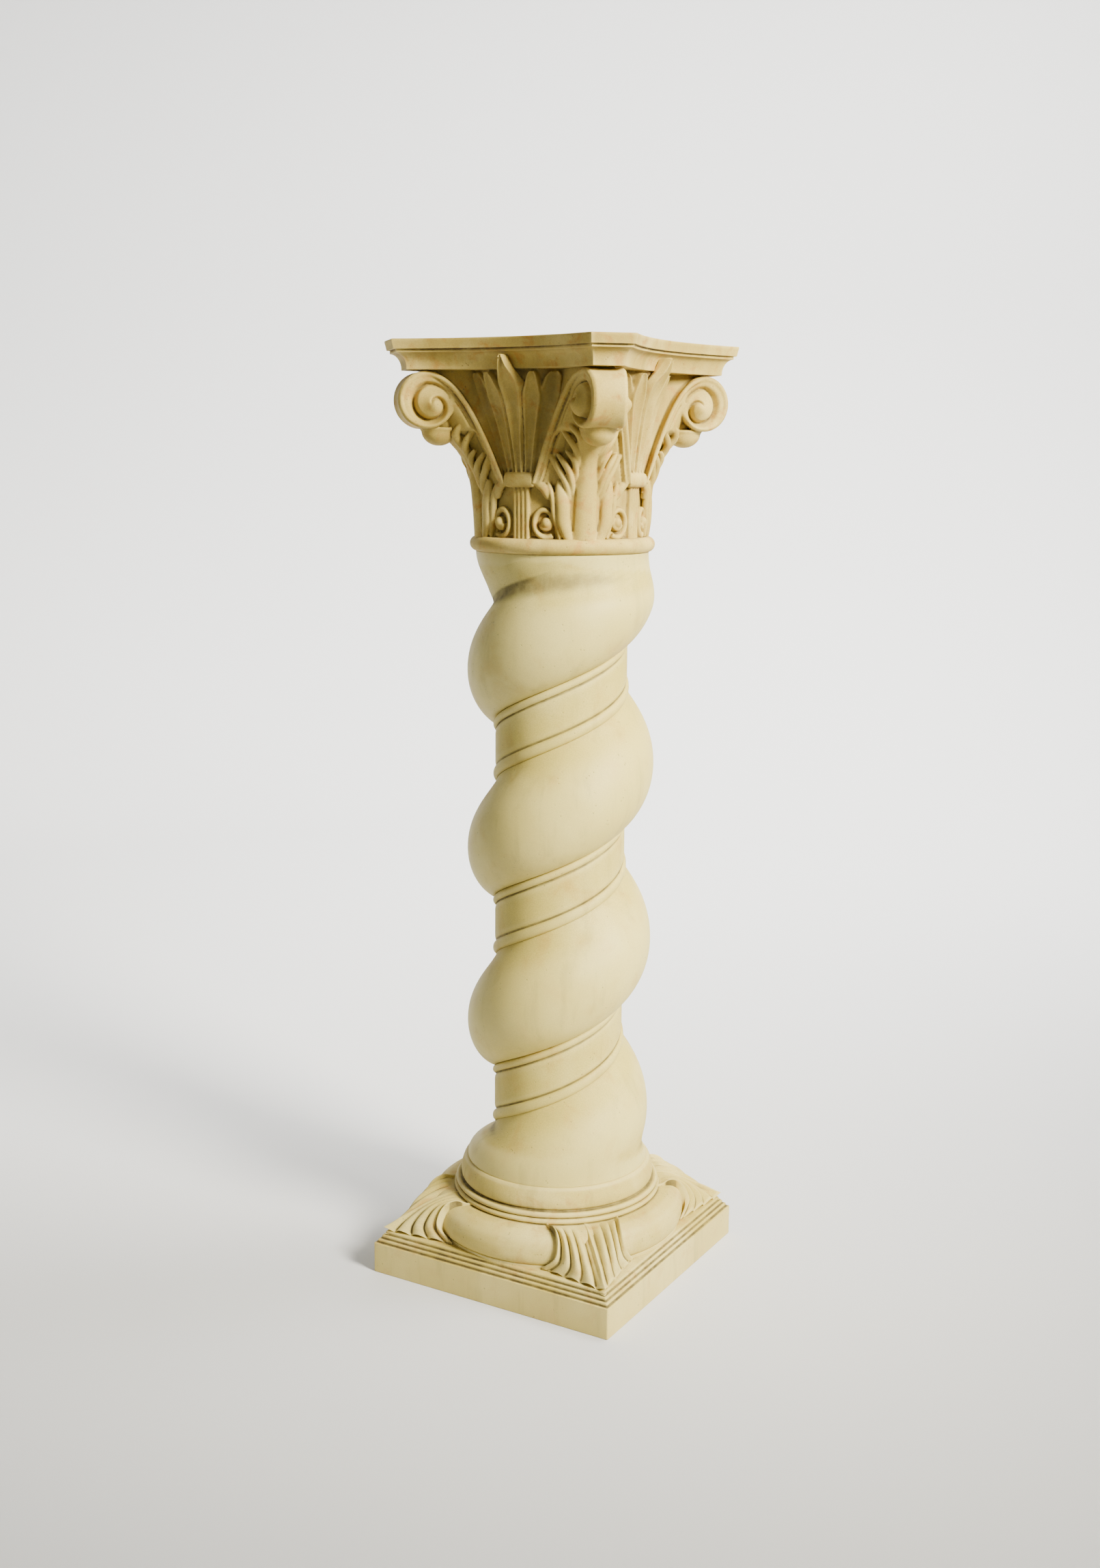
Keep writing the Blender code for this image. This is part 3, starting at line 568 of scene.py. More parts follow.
# Shaft: a thick strand that winds round, with a recessed band between two beads.

shaftSizes = {
    "foot": 0.1233, "head": 0.8047, "pitch": 0.1975, "phase": 0.399, "turns": 5, "lobe": 0.1018,
    "band": 0.0714, "bandEnd": 0.335, "lowBead": 0.0134, "highBead": 0.0097, "proud": 0.0022,
    "groove": 0.0022, "shadeAndWear": (12, 0.0012),
    "footRadius": 0.1015, "neckRadius": 0.0925, "footBlend": 0.036, "neckBlend": 0.060, "beadFade": 0.105}


def strandRadius(share, size):
    # Radius over one pitch: half-round beads at both edges of the band, a little groove beside each, and
    # the strand over the rest: a sine that is full at its lower side and slimmer towards its top.
    low = size["lowBead"] / size["pitch"]
    high = size["highBead"] / size["pitch"]
    end = size["bandEnd"]
    floor = size["band"] - size["groove"]
    dip = size["groove"] * (np.exp(-((share - low * 1.06) / 0.010) ** 2)
                            + np.exp(-((share - end + high * 1.06) / 0.010) ** 2))
    radius = size["band"] - dip
    for start, width in ((0.0, low), (end - high, high)):
        x = np.clip((share - start) / width, 0, 1)
        bead = floor + (size["proud"] + size["groove"]) * np.sqrt(np.clip(1 - (2 * x - 1) ** 2, 0, 1))
        radius = np.where((share >= start) & (share <= start + width), bead, radius)
    over = np.clip((share - end) / (1 - end), 0, 1)
    swell = np.sin(math.pi * over ** 0.80) ** (0.68 + 0.5 * over ** 4)
    return np.where(share > end, mix(floor, size["lobe"], swell), radius)


def shaftMesh(size):
    # Rows follow the strand: each climbs one pitch in a turn. Rows past an end are held at its level.
    low = size["lowBead"] / size["pitch"]
    high = size["highBead"] / size["pitch"]
    end = size["bandEnd"]
    dense = (1 - np.cos(np.linspace(0, math.pi, 13)[:-1])) / 2
    shares = np.concatenate([
        low * dense, np.linspace(low, end - high, 15)[:-1], end - high + high * dense,
        end + (1 - end) * (1 - np.cos(np.linspace(0, math.pi, 35)[:-1])) / 2])
    rows = (np.arange(size["turns"])[:, None] + shares).ravel()
    angle = np.linspace(0, 2 * math.pi, 161)
    first = size["foot"] - size["pitch"] * (1 + size["phase"])
    z = first + size["pitch"] * (rows[:, None] + angle / (2 * math.pi))
    radius = strandRadius(np.broadcast_to((rows % 1)[:, None], z.shape), size)
    z = np.clip(z, size["foot"], size["head"])
    foot = 1 - ease((z - size["foot"]) / size["footBlend"])
    neck = 1 - ease((size["head"] - z) / size["neckBlend"])
    plain = 1 - ease((size["head"] - z) / size["beadFade"])
    filled = size["band"] + size["proud"] + 0.001
    floor = mix(size["band"] - size["groove"], filled, np.minimum(1, 1.6 * plain))
    radius = mix(mix(np.maximum(radius, floor), size["footRadius"], foot), size["neckRadius"], neck)
    grid = np.stack([radius * np.cos(angle), radius * np.sin(angle), z], -1)
    ends = [np.broadcast_to(np.array((0.0, 0.0, size[end])), grid[:1].shape) for end in ("foot", "head")]
    return skinMesh("shaft", [np.concatenate([ends[0], grid, ends[1]])], wrap=False)


shaftSkin = shaftMesh(shaftSizes)
markShadeAndWear(shaftSkin, *shaftSizes["shadeAndWear"])
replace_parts(place(shaftSkin, shaftStone, "shaft_stone", 70), "shaft")
print("shaft built")


# Capital: bell and astragal, tied petals and reeds on each face, a leafed horn with scrolls at each corner.

bellSizes = {"foot": 0.805, "bellFoot": 0.821, "bellTop": 0.990, "footRadius": 0.082, "lipRadius": 0.106,
             "astragal": 0.0990, "astragalHeight": 0.016, "shadeAndWear": (10, 0.0010)}


def level(share):
    return mix(bellSizes["bellFoot"], bellSizes["bellTop"], share)


def shareAt(height):
    return (height - bellSizes["bellFoot"]) / (bellSizes["bellTop"] - bellSizes["bellFoot"])


def bellRadius(share):
    return mix(bellSizes["footRadius"], bellSizes["lipRadius"], np.maximum(share, 0) ** 2.5)


def around(degrees, radius, height):
    # A point from its angle, radius and height.
    angle = np.radians(degrees)
    return joined(radius * np.cos(angle), radius * np.sin(angle), height)


def bellMesh(size):
    half = size["astragalHeight"] / 2
    share = np.linspace(0.02, 1.01, 30)
    radius, foot = size["footRadius"], size["bellFoot"]
    profile = np.vstack([
        [(0.04, size["foot"])],
        arc((size["astragal"] - half, size["foot"] + half), (half, half), -90, 84, 26),
        [(radius + 0.004, foot - 0.0003), (radius + 0.001, foot + 0.001)],
        np.stack([bellRadius(share) - 0.0003, level(share)], -1), [(0.05, level(1.01))]])
    return skinMesh("bell", [capped(lathe(profile, 200))])


abacusSizes = {"side": 0.296, "corner": 0.0457, "hollow": 0.022, "overhang": 0.0163, "bottom": 0.990,
               "top": 1.020, "shelf": 1.0100, "fillet": 0.0036, "shadeAndWear": (4, 0.0007)}


def abacusPlan(offset, size):
    # Hollow sides and cut corners, moved out by an offset at each level. Each side is a parabola.
    offset = np.asarray(offset)[:, None]
    half = size["side"] / 2 - size["overhang"] + offset
    mitre = 2 * math.tan(math.radians(22.5))
    cut = (size["corner"] - mitre * (size["overhang"] - offset)) / math.sqrt(2)
    end = half - cut
    side = np.linspace(-1, 1, 65)[None, :]
    reach = half - size["hollow"] * (1 - side * side)
    across = end * side
    bevel = np.linspace(0, 1, 13)[1:-1][None, :]
    x = np.concatenate([reach, mix(half, end, bevel)], 1)
    y = np.concatenate([across, mix(end, half, bevel)], 1)
    plans = [np.stack([x, y], -1) @ np.array(((math.cos(a), math.sin(a)), (-math.sin(a), math.cos(a))))
             for a in np.radians(faceTurns)]
    return np.concatenate(plans, 1)


def abacusMesh(size):
    # Profile of (offset, height): a hollow, a fillet, a leaning fascia and a softened top edge. The flat
    # bottom and top are the end plans drawn in towards the middle.
    over = size["overhang"]
    rise = np.linspace(0, 1, 18)
    cavetto = np.stack([0.56 * over * (1 - np.sqrt(1 - (0.97 * rise) ** 2)) / 0.757,
                        mix(size["bottom"] + 0.0012, size["shelf"] - size["fillet"], rise)], -1)
    edge = np.array([(0.66, -0.0034), (0.685, -0.0030), (0.685, -0.0004), (0.70, -0.0001), (0.86, 0.0),
                     (0.885, 0.0004)])
    profile = np.vstack([
        [(-0.0008, size["bottom"]), (-0.0001, size["bottom"] + 0.0003)], cavetto,
        edge * (over, 1) + (0, size["shelf"]),
        smoothPath([(0.885 * over, size["shelf"] + 0.0008), (0.93 * over, size["shelf"] + 0.004),
                    (0.99 * over, size["shelf"] + 0.0075)], 8),
        arc((over - 0.0009, size["top"] - 0.0009), (0.0009, 0.0009), 0, 90, 6)])
    plan = abacusPlan(profile[:, 0], size)
    height = np.broadcast_to(profile[:, 1][:, None, None], plan.shape[:2] + (1,))
    rings = np.concatenate([plan, height], -1)
    inward = np.array((0.97, 0.9, 0.75, 0.55, 0.35, 0.15))[:, None, None]
    flat = np.array((1.0, 1.0, 0.0))
    shrink = inward * flat + 1 - flat
    rings = np.concatenate([rings[:1] * shrink[::-1], rings, rings[-1:] * shrink])
    return skinMesh("abacus", [capped(rings)])


bellSkin = bellMesh(bellSizes)
markShadeAndWear(bellSkin, *bellSizes["shadeAndWear"])
bellItem = place(bellSkin, capitalStone, "capital_stone", 60)
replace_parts(bellItem, "capital")
abacusSkin = abacusMesh(abacusSizes)
markShadeAndWear(abacusSkin, *abacusSizes["shadeAndWear"])
place(abacusSkin, capitalStone, "capital_stone", 40)
print("bell and abacus built")


faceSizes = {
    "cell": 0.00085, "soften": 5, "keep": 0.42, "shadeAndWear": (18, 0.0011), "wall": 0.003, "reeds": 4,
    "reedRadius": 0.0027, "reedSpacing": 0.0046, "tieHalf": 0.0172, "tieLevel": 0.352, "tieRise": 0.0076,
    "tieOut": 0.0066,
    # Petals: lean at the tip and at the root in degrees, tip level, half widths at root, belly and tip,
    # lift, and how far the tip curls out.
    "petals": ((0.0, 0.0, 1.08, 0.0046, 0.0165, 0.0034, 0.0056, 0.0150),
               (13.8, 5.8, 0.985, 0.0048, 0.0136, 0.0070, 0.0040, 0.0030),
               (-13.8, -5.8, 0.985, 0.0048, 0.0136, 0.0070, 0.0040, 0.0030),
               (25.5, 10.0, 0.985, 0.0044, 0.0160, 0.0110, 0.0016, 0.0006),
               (-25.5, -10.0, 0.985, 0.0044, 0.0160, 0.0110, 0.0016, 0.0006)),
    "curlMiddle": (17.9, 0.102), "curlReach": (9.2, 0.098), "curlRod": 0.0031, "ball": 0.0055}


def sectorRings(size):
    # A thin slab of the bell's wall, wider at the top than at the foot.
    share = np.linspace(-0.01, 1.0, 44)
    spread = mix(25.0, 39.0, ease(share))[:, None]
    turn = np.linspace(-1, 1, 49)[None, :]
    outer = around(spread * turn, bellRadius(share)[:, None], level(share)[:, None])
    inner = around(spread * turn, bellRadius(share)[:, None] - size["wall"], level(share)[:, None])
    return slabRings(outer, inner)


def petalRings(petal):
    # Across a petal, the height is a shallow channel between two broad ridges that roll off at the sides.
    # Along it, the width swells from the tie and rounds in at the tip, where the middle petal curls out.
    tipLean, rootLean, tipLevel, root, belly, tip, lift, curl = petal
    along = np.linspace(0, 1, 80)[:, None]
    across = np.linspace(-1, 1, 41)[None, :]
    share = mix(0.33, tipLevel, along)
    half = mix(mix(root, belly, np.clip(along / 0.80, 0, 1) ** 1.5), tip, ease((along - 0.74) / 0.26))
    half = half * np.sqrt(np.clip(1 - ((along - 0.93) / 0.075).clip(0, 1) ** 2, 0.02, 1))
    ridge = 0.0032 * np.exp(-((np.abs(across) - 0.62) / 0.22) ** 2) * mix(0.8, 1.0, ease(along / 0.5))
    roll = -0.0064 * ease((np.abs(across) - 0.68) / 0.34)
    bend = curl * ease((along - 0.62) / 0.42) ** 1.5
    wall = bellRadius(np.minimum(share, 1.0))
    reach = wall + lift * mix(0.75, 1.0, along) + bend + ridge + roll
    centre = np.radians(mix(rootLean, tipLean, along))
    cos, sin = np.cos(centre), np.sin(centre)
    aside = across * half
    top = joined(reach * cos - aside * sin, reach * sin + aside * cos, level(share))
    inner = wall - 0.003 + 0.65 * bend
    aside = 0.85 * across * half
    under = joined(inner * cos - aside * sin, inner * sin + aside * cos, level(share) - 0.001 * along)
    return slabRings(top, under)


def onBell(degrees, share, rise):
    return around(degrees, bellRadius(share) + rise, level(share))


def curlRods(side, size):
    # A rod that spirals in from the foot round the reeds' side and over the top, to a ball.
    share = np.linspace(0, 1, 60)
    angle = np.radians(mix(305, -150, share))
    reach = mix(1.0, 0.34, share ** 1.1)
    middle, spread = size["curlMiddle"], size["curlReach"]
    degrees = side * (middle[0] + spread[0] * reach * np.cos(angle))
    path = onBell(degrees, middle[1] + spread[1] * reach * np.sin(angle), mix(0.0012, 0.0030, share))
    normals = around(degrees, 1.0, 0.0)
    width = size["curlRod"] * mix(1.0, 0.75, share)
    rod = sweep(path, normals, width, width * 1.25, 14)
    ball = ovalRings(onBell(side * (middle[0] + 1.0), middle[1] - 0.006, 0.0032), (size["ball"],) * 3)
    return [rod, ball]


def ovalRings(middle, radii, columns=24, rows=14):
    # An ellipsoid from its middle and its half sizes.
    rise = np.radians(np.linspace(-90, 90, rows))[:, None]
    turn = np.linspace(0, 2 * math.pi, columns, endpoint=False)[None, :]
    return joined(middle[0] + radii[0] * np.cos(rise) * np.cos(turn),
                  middle[1] + radii[1] * np.cos(rise) * np.sin(turn), middle[2] + radii[2] * np.sin(rise))


def faceMesh(size):
    grids = [sectorRings(size)]
    grids += [petalRings(petal) for petal in size["petals"]]
    height = np.linspace(-0.02, 0.35, 24)
    for k in range(size["reeds"]):
        offset = size["reedSpacing"] * (k - (size["reeds"] - 1) / 2)
        degrees = math.degrees(offset / bellSizes["footRadius"])
        path = onBell(degrees, height, 0.0016)
        outward = around(np.full(24, degrees), 1.0, 0.0)
        grids.append(sweep(path, outward, size["reedRadius"], size["reedRadius"] * 1.1, 16))
    reach = float(bellRadius(size["tieLevel"]))
    turn = np.linspace(-1, 1, 40)
    degrees = np.degrees(turn * size["tieHalf"] / reach)
    swell = np.sqrt(np.clip(1 - np.clip((np.abs(turn) - 0.84) / 0.16, 0, 1) ** 2, 0.01, 1))
    grids.append(sweep(onBell(degrees, np.full(40, size["tieLevel"]), 0.0036), around(degrees, 1.0, 0.0),
                       size["tieRise"] * swell, size["tieOut"] * swell, 20, 2.6))
    for side in (-1, 1):
        grids += curlRods(side, size)
    return skinMesh("face", grids)


cornerSizes = {
    "cell": 0.00085, "soften": 4, "keep": 0.42, "shadeAndWear": (18, 0.0011),
    "stem": ((0.0768, 0.0516, 0.877), (0.095, 0.04, 0.9224), (0.118, 0.028, 0.9883), (0.15, 0.0205, 0.9842)),
    "stemRod": 0.0025,
    "flank": ((0.0, 0.024), (0.25, 0.024), (0.42, 0.0275), (0.55, 0.0275), (0.75, 0.024), (1.0, 0.012)),
    # Beside the stem's rod: a band, its raised edge and a groove, each (distance from the rod, width, rise).
    "band": ((0.0052, 0.0023, -0.0021), (0.0072, 0.0008, 0.0004), (0.0092, 0.0011, -0.0024)),
    "scroll": (0.150, 0.960), "radius": 0.0290, "halfWidth": 0.0210, "flare": 0.18, "lip": 0.0020,
    "eyeIn": 0.0062, "eyeDown": 0.0055, "eyeRise": 0.0094, "waist": 0.0009,
    # Spiral groove: angle wound from the top in degrees, distance from the eye, depth.
    "groove": ((-70, 0.0180, 0.0030), (-20, 0.0193, 0.0045), (16, 0.0218, 0.0062), (45, 0.0208, 0.0075),
               (90, 0.0180, 0.0082), (135, 0.0155, 0.0084), (180, 0.0137, 0.0084), (225, 0.0122, 0.0082),
               (270, 0.0106, 0.0076), (340, 0.0076, 0.0056), (400, 0.0044, 0.0026), (430, 0.0028, 0.0)),
    # How far the groove's slopes reach, outwards and inwards: angles wound, and the reach at each.
    "outerSlope": ((-70, 10, 60, 180, 280, 400), (0.0012, 0.0022, 0.0044, 0.0038, 0.0024, 0.0012)),
    "innerSlope": ((-70, 60, 400), (0.0010, 0.0016, 0.0012)),
    "cup": (0.134, 0.9305), "cupHalf": (0.0180, 0.0175), "cupDeep": 0.0150, "cupLip": 0.0022,
    "front": ((-0.05, 0.0945), (0.15, 0.0965), (0.30, 0.0990), (0.42, 0.1030), (0.50, 0.1085), (0.57, 0.1150),
              (0.62, 0.1205), (0.66, 0.1260)),
    "neck": ((0.124, 0.0, 0.9385), (0.016, 0.0135, 0.0125)), "leafStem": 0.0122,
    # The leaf's thin spread: levels, and degrees from the corner at each.
    "blade": ((-0.03, 0.10, 0.26, 0.34, 0.48, 0.60), (20.0, 21.0, 17.0, 15.5, 15.0, 9.0)),
    # Fingers of the leaf: knots of (degrees from the corner, level, rise), half width and half height.
    "fingers": (
        (((10.0, -0.02, 0.0), (14.2, 0.1, 0.003), (14.8, 0.21, 0.003), (17.4, 0.35, 0.001)), 0.0068, 0.0046),
        (((16.5, 0.0, 0.0), (20.4, 0.14, 0.002), (21.6, 0.25, 0.002), (24.5, 0.335, 0.0)), 0.003, 0.0036),
        (((10.0, 0.22, -0.004), (12.6, 0.33, 0.003), (18.0, 0.425, 0.005), (23.2, 0.512, 0.004)),
         0.0036, 0.004),
        (((8.2, 0.26, -0.004), (9.6, 0.35, 0.003), (12.6, 0.43, 0.007), (18.6, 0.512, 0.006)), 0.0034, 0.004),
        (((6.6, 0.32, -0.004), (7.3, 0.41, 0.003), (9.0, 0.475, 0.007), (13.4, 0.528, 0.007)), 0.003, 0.0036),
        (((5.8, 0.38, -0.004), (6.8, 0.49, 0.004), (9.9, 0.565, 0.009), (15.6, 0.645, 0.008)), 0.0034, 0.004),
        (((4.6, 0.44, -0.004), (5.4, 0.54, 0.004), (7.4, 0.615, 0.01), (12.6, 0.685, 0.01)), 0.0036, 0.0042),
        (((34.0, 0.335, 0.001), (30.0, 0.322, 0.002), (26.5, 0.29, 0.002), (24.0, 0.235, 0.0)),
         0.0046, 0.0036),
    )}


def leafRadius(degrees, share, size):
    # The leaf's own ground: the bell, swelling to the corner's front line as a bell curve over the angle.
    share = np.asarray(share, float)
    front = np.interp(share, *np.array(size["front"]).T)
    bell = bellRadius(share)
    return bell + 0.0028 + (front - bell - 0.006) * np.exp(-(np.asarray(degrees) / 13.0) ** 2)


def stemLine(size, count):
    # Cubic Bezier curve through the stem's four knots.
    v = np.linspace(0, 1, count)[:, None]
    a, b, c, d = (np.array(knot) for knot in size["stem"])
    return (1 - v) ** 3 * a + 3 * v * (1 - v) ** 2 * b + 3 * v * v * (1 - v) * c + v ** 3 * d


def hornRings(size):
    # The body between a corner's two stems. Each ring lies square to the stem. From the stem's rod it
    # crosses a shallow band and a narrow groove, then rounds over the front as (1 - x^2)^k.
    count = 40
    stem = stemLine(size, count)
    ahead = np.gradient(stem[:, [0, 2]], axis=0)
    ahead /= np.linalg.norm(ahead, axis=1, keepdims=True)
    down = np.stack([ahead[:, 1], -ahead[:, 0]], -1)
    v = np.linspace(0, 1, count)[:, None]
    width = np.interp(v, *np.array(size["flank"]).T)
    x = np.linspace(-0.06, 1, 64)[None, :]
    clear = np.clip(x, 0, 1)
    distance = width * x
    half = (stem[:, 1:2] - 0.0018) * (1 - clear ** 2) ** mix(1.3, 0.75, v)
    slopeAcross = np.gradient(half, axis=1)
    slopeAlong = np.gradient(np.broadcast_to(distance, half.shape), axis=1)
    length = np.hypot(slopeAcross, slopeAlong) + 1e-9
    run = np.cumsum(length, axis=1) - length[:, :1]
    relief = sum(rise * np.exp(-((run - at) / wide) ** 2) for at, wide, rise in size["band"])
    relief = relief * ease((1 - clear) / 0.3)
    distance = distance - relief * slopeAcross / length
    half = half + relief * slopeAlong / length
    right = np.stack([stem[:, :1] + down[:, :1] * distance, half, stem[:, 2:3] + down[:, 1:] * distance], -1)
    # Behind the leaf, the flank is held under the leaf's ground, and it sinks to the bell at its foot.
    share = shareAt(right[..., 2])
    foot = 0.0055 * (1 - np.sqrt(np.clip(1 - np.clip(1 - v / 0.09, 0, 1) ** 2, 0, 1)))
    limit = leafRadius(np.degrees(np.arctan2(right[..., 1], right[..., 0])), share, size) - foot
    limit = limit + 0.012 * (1 - ease((run - 0.0045) / 0.0065)) + 0.05 * ease((share - 0.60) / 0.14)
    radius = np.hypot(right[..., 0], right[..., 1])
    over = np.maximum(radius - limit + 0.001, 0)
    held = radius - over + 0.001 * (1 - np.exp(-over / 0.001))
    right = right * np.stack([held / radius, held / radius, np.ones_like(radius)], -1)
    left = mirrored(right)[:, ::-1]
    back = (right[:, :1] + left[:, -1:]) / 2 - np.array((0.014, 0.0, 0.0))
    return capped(np.concatenate([right, left[:, 1:], back], 1))


def backingRings(size):
    # Fills the space between the horn and the abacus, set back behind the stems.
    stem = stemLine(size, 30)
    shelf = np.maximum(stem[:, 1] - 0.0085, 0.006)
    out = stem[:, 0] - 0.002
    low = stem[:, 2] - 0.010
    high = np.full(30, 0.9915)
    corners = [np.stack([out, side * shelf, height], -1) for side, height in
               ((1, low), (1, high), (-1, high), (-1, low))]
    ring = np.stack(corners, 1)
    steps = np.linspace(0, 1, 8)[:-1][None, :, None]
    sides = [mix(ring[:, k:k + 1], ring[:, (k + 1) % 4][:, None], steps) for k in range(4)]
    return capped(np.concatenate(sides, 1))


def scrollRings(size):
    # One closed skin: from one eye over its face and lip, across the roll, to the other eye. Around the
    # eye, each ring's points go out to the scroll's circle. On a face the height is a rim, a dome at the
    # eye and the spiral groove, whose distance from the eye shrinks as its angle winds on.
    angle = np.linspace(0, 2 * math.pi, 180, endpoint=False)[None, :]
    eye = np.array((size["scroll"][0] - size["eyeIn"], size["scroll"][1] - size["eyeDown"]))
    offset = np.array((size["eyeIn"], size["eyeDown"]))

    def spot(reach):
        # Place along X, half width there and level, at a distance from the eye.
        x = eye[0] + reach * np.cos(angle)
        width = size["halfWidth"] + size["flare"] * (size["scroll"][0] - x)
        return x, width, eye[1] + reach * np.sin(angle)

    along = offset[0] * np.cos(angle) + offset[1] * np.sin(angle)
    outer = along + np.sqrt(size["radius"] ** 2 - (offset ** 2).sum() + along ** 2)
    share = np.linspace(0, 1, 58)[:, None]
    reach = share * (outer - size["lip"])
    wound = (90 - np.degrees(angle)) % 360
    knots, distances, depths = np.array(size["groove"]).T
    height = size["eyeRise"] * np.exp(-(reach / 0.0100) ** 2)
    rim = 0.0012 * np.sqrt(np.clip(1 - ((outer - reach - 0.0028) / 0.0027) ** 2, 0, 1))
    height = height + rim * (1 - ease((wound - 215) / 60) + ease((wound - 335) / 20))
    carve = 0
    for lap in (-360, 0, 360):
        at = wound + lap
        inside = (at > knots[0]) & (at < knots[-1])
        gap = reach - np.interp(at, knots, distances)
        spread = np.where(gap > 0, np.interp(at, *size["outerSlope"]), np.interp(at, *size["innerSlope"]))
        dent = np.interp(at, knots, depths) * np.exp(-np.abs(gap / spread) ** 2.2)
        carve = np.maximum(carve, np.where(inside, dent, 0))
    height = height - carve
    x, width, z = spot(reach)
    face = np.stack([x, width + height, z], -1)
    bend = np.linspace(0, math.pi / 2, 7)[1:, None]
    x, width, z = spot(outer - size["lip"] * (1 - np.sin(bend)))
    lip = np.stack([x, width - size["lip"] * (1 - np.cos(bend)), z], -1)
    across = np.linspace(1, 0, 10)[1:, None]
    x, width, z = spot(outer - size["waist"] * (1 - across ** 2))
    roll = np.stack([x, (width - size["lip"]) * across, z], -1)
    half = np.concatenate([face, lip, roll])
    return np.concatenate([half, mirrored(half)[-2::-1]])


def cupRings(size):
    # The lower half of an oval bowl, a round lip, and a slightly hollow top.
    low = np.radians(np.linspace(-90, -4, 16))
    lip = np.radians(np.linspace(-60, 150, 12))
    reach = np.concatenate([np.cos(low), 1 + 0.11 * np.cos(lip) - 0.03, [0.7, 0.4, 0.0]])
    height = np.concatenate([size["cupDeep"] * np.sin(low), size["cupLip"] * (1 + np.sin(lip)) * 0.9,
                             [0.0016, 0.0008, 0.0006]])
    turn = np.linspace(0, 2 * math.pi, 48, endpoint=False)[None, :]
    reach = reach[:, None]
    return joined(size["cup"][0] + size["cupHalf"][0] * reach * np.cos(turn),
                  size["cupHalf"][1] * reach * np.sin(turn), size["cup"][1] - 0.0015 + height[:, None])


def leafStemRings(size):
    # The plain middle of the leaf: at each level, its front is a parabola across.
    share = np.linspace(-0.05, 0.655, 44)[:, None]
    front = np.interp(share, *np.array(size["front"]).T) + 0.0008
    half = size["leafStem"] * (1 - 0.16 * ease(share / 0.45) + 0.38 * ease((share - 0.48) / 0.18))
    across = np.linspace(-1, 1, 31)[None, :]
    lean = 0.010 * ease((share - 0.42) / 0.24)
    top = joined(front - 0.0052 * np.abs(across) ** 2.4, half * across, level(share) - lean)
    under = top - np.array((0.016, 0.0, 0.0))
    under[..., 2] += lean
    return slabRings(top, under)


def fingerRings(finger, side, size):
    # A tongue swept along its knots on the leaf's ground, full at the belly and drawn to a point.
    knots, width, height = finger
    path = smoothPath(knots, 40)
    degrees = side * path[:, 0]
    spots = around(degrees, leafRadius(path[:, 0], path[:, 1], size) + path[:, 2], level(path[:, 1]))
    x = np.linspace(0, 1, 40)
    full = mix(0.72, 1.0, ease(x / 0.4)) * np.sqrt(np.clip(1 - ((x - 0.68).clip(0) / 0.325) ** 2, 0.01, 1))
    return sweep(spots, around(degrees, 1.0, 0.0), width * full, height * mix(1.0, full, 0.5), 20)


def bladeRings(size):
    # The thin spread of the leaf behind its fingers.
    share = np.linspace(-0.03, 0.60, 30)
    reach = np.interp(share, *size["blade"])[:, None]
    turn = np.linspace(-1, 1, 41)[None, :]
    ground = leafRadius(reach * turn, share[:, None], size) - 0.0022 * np.abs(turn) ** 3
    top = around(reach * turn, ground, level(share)[:, None])
    under = around(reach * turn, bellRadius(share)[:, None] - 0.004, level(share)[:, None])
    return slabRings(top, under)


def cornerMesh(size):
    grids = [hornRings(size), backingRings(size), scrollRings(size), cupRings(size), leafStemRings(size),
             bladeRings(size), ovalRings(*size["neck"])]
    line = stemLine(size, 70)
    outward = np.cross(np.gradient(line, axis=0), np.array((0.0, -1.0, 0.0)))
    outward /= np.linalg.norm(outward, axis=1, keepdims=True)
    sidewards = np.broadcast_to(np.array((0.0, 1.0, 0.0)), line.shape)
    share = np.linspace(0, 1, 70)
    taper = mix(0.62, 1.0, ease(share / 0.25)) * mix(1.0, 0.4, ease((share - 0.84) / 0.16))
    rod = sweep(line, sidewards, size["stemRod"] * taper, size["stemRod"] * 1.15 * taper, 18)
    grids += [rod, mirrored(rod)]
    for side in (-1, 1):
        grids += [fingerRings(finger, side, size) for finger in size["fingers"]]
    return skinMesh("corner", grids)


def markOcclusionShade(mesh):
    # Painted occlusion shade: high up under the abacus and close behind, and low down close to the bell.
    x, y, z = meshPoints(mesh).T
    share = shareAt(z)
    depth = np.hypot(x, y) - bellRadius(np.clip(share, 0, 1))
    close = np.exp(-np.maximum(depth - 0.001, 0) / 0.0045)
    value = close * mix(0.22, 0.75, ease((share - 0.25) / 0.75)) * (share < 1.0)
    mark = mesh.attributes.new("occlusionShade", "FLOAT", "POINT")
    mark.data.foreach_set("value", np.clip(value, 0, 1).astype(np.float32))


for title, build, size, turns in (("face", faceMesh, faceSizes, faceTurns),
                                  ("corner", cornerMesh, cornerSizes, cornerTurns)):
    skin = fused(build(size), size["cell"], size["soften"])
    markShadeAndWear(skin, *size["shadeAndWear"])
    markOcclusionShade(skin)
    skin = thinned(skin, size["keep"])
    repeated(title, skin, turns, capitalStone, "capital_stone", 80)
    print(title, "pieces built with", len(skin.polygons), "faces each")
markOcclusionShade(bellItem.data)


# Camera at the photo's place, pale floor, soft lights.

viewSizes = {"place": (0.939, -1.615, 0.9027), "turn": 30.17, "yaw": -0.35, "down": 10.68, "roll": 0.44,
             "lens": 39.72}
floorSizes = {"hole": 0.02, "flat": 2.3, "bend": 1.4, "height": 6.0, "colour": (0.66, 0.66, 0.65, 1)}
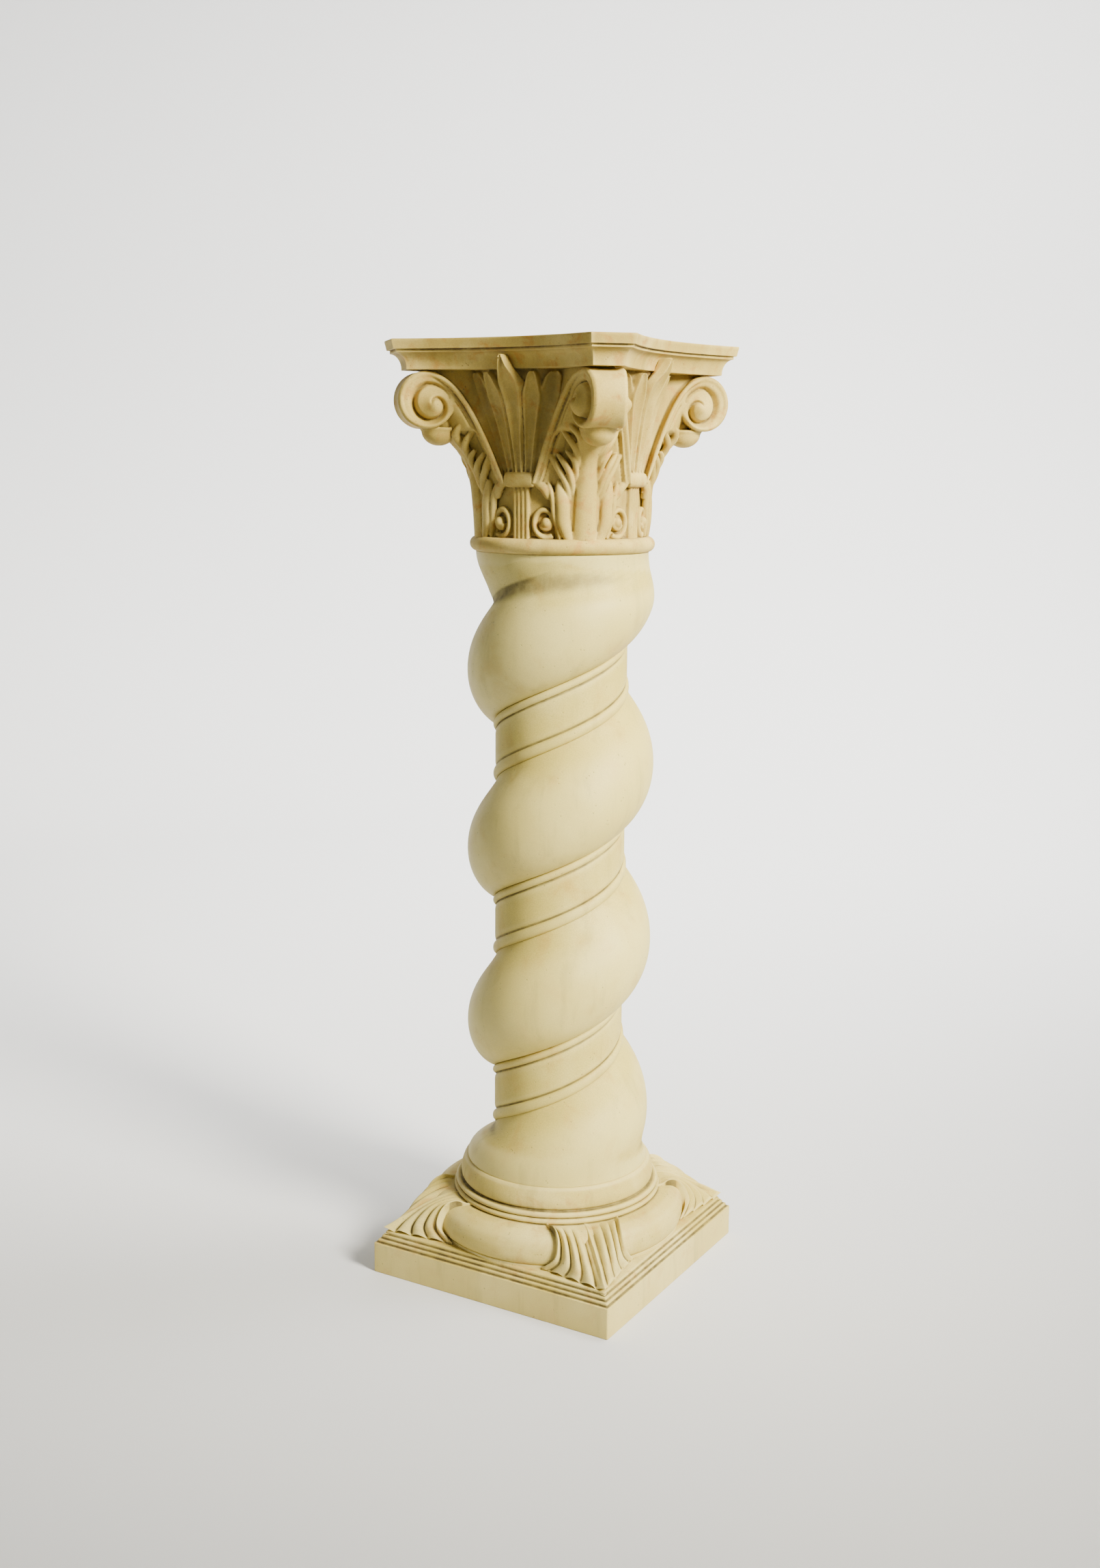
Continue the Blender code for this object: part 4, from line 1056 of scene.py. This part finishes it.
# Each lamp: place, target, size, watts, colour and spread in degrees.
lampSizes = {
    "key": ((2.42, -0.55, 2.00), (0, 0, 0.5), 0.8, 29, (1.0, 0.96, 0.86), 50),
    "fill": ((0.2, -2.6, 1.5), (0, 0, 0.5), 1.6, 0.4, (1.0, 0.98, 0.95), 120),
    "back": ((-1.6, 1.8, 2.3), (0, 0, 0.6), 1.2, 1.6, (1.0, 0.96, 0.9), 120),
    "backdrop": ((0.6, 1.4, 3.1), (-1.5, 2.6, 0.4), 2.2, 270, (1.0, 0.99, 0.97), 110)}


def photoCamera(size):
    yaw, down, roll = (math.radians(size[title]) for title in ("yaw", "down", "roll"))
    ahead = Vector((math.sin(yaw) * math.cos(down), math.cos(yaw) * math.cos(down), -math.sin(down)))
    right = Vector((math.cos(yaw), -math.sin(yaw), 0))
    up = right.cross(ahead)
    leanRight = right * math.cos(roll) + up * math.sin(roll)
    leanUp = up * math.cos(roll) - right * math.sin(roll)
    frameTurn = Matrix((leanRight, leanUp, -ahead)).transposed()
    camera = newItem("camera", bpy.data.cameras.new("camera"))
    camera.data.lens = size["lens"]
    camera.data.sensor_width = 36
    camera.matrix_world = (Matrix.Translation(size["place"])
                           @ Matrix.Rotation(math.radians(size["turn"]), 4, "Z") @ frameTurn.to_4x4())
    bpy.context.scene.camera = camera


def paleFloor(size):
    # A wide round floor that curves up into a wall on every side.
    bend = arc((size["flat"], size["bend"]), (size["bend"], size["bend"]), -90, 0, 24)
    wallTop = (size["flat"] + size["bend"], size["height"])
    grid = lathe(np.vstack([[(size["hole"], 0.0)], bend, [wallTop]]), 128)
    mesh = bpy.data.meshes.new("floor")
    mesh.from_pydata(grid.reshape(-1, 3), [], gridFaces(*grid.shape[:2], True).tolist())
    mesh.shade_smooth()
    paper = bpy.data.materials.new("pale paper")
    paper.use_nodes = True
    shader = paper.node_tree.nodes["Principled BSDF"]
    shader.inputs["Base Color"].default_value = size["colour"]
    shader.inputs["Roughness"].default_value = 0.9
    mesh.materials.append(paper)
    newItem("floor", mesh)


def softLight(name, place, target, size, power, colour, spread):
    lamp = bpy.data.lights.new(name, "AREA")
    lamp.size = size
    lamp.energy = power
    lamp.color = colour
    lamp.spread = math.radians(spread)
    item = newItem(name, lamp)
    item.location = place
    item.rotation_euler = (Vector(target) - Vector(place)).to_track_quat("-Z", "Y").to_euler()


def paleWorld(strength):
    world = bpy.data.worlds.new("studio")
    world.use_nodes = True
    world.node_tree.nodes["Background"].inputs["Color"].default_value = (1.0, 0.985, 0.95, 1)
    world.node_tree.nodes["Background"].inputs["Strength"].default_value = strength
    bpy.context.scene.world = world


photoCamera(viewSizes)
paleFloor(floorSizes)
paleWorld(0.04)
for lampName, lamp in lampSizes.items():
    softLight(lampName, *lamp)
print("stage built")
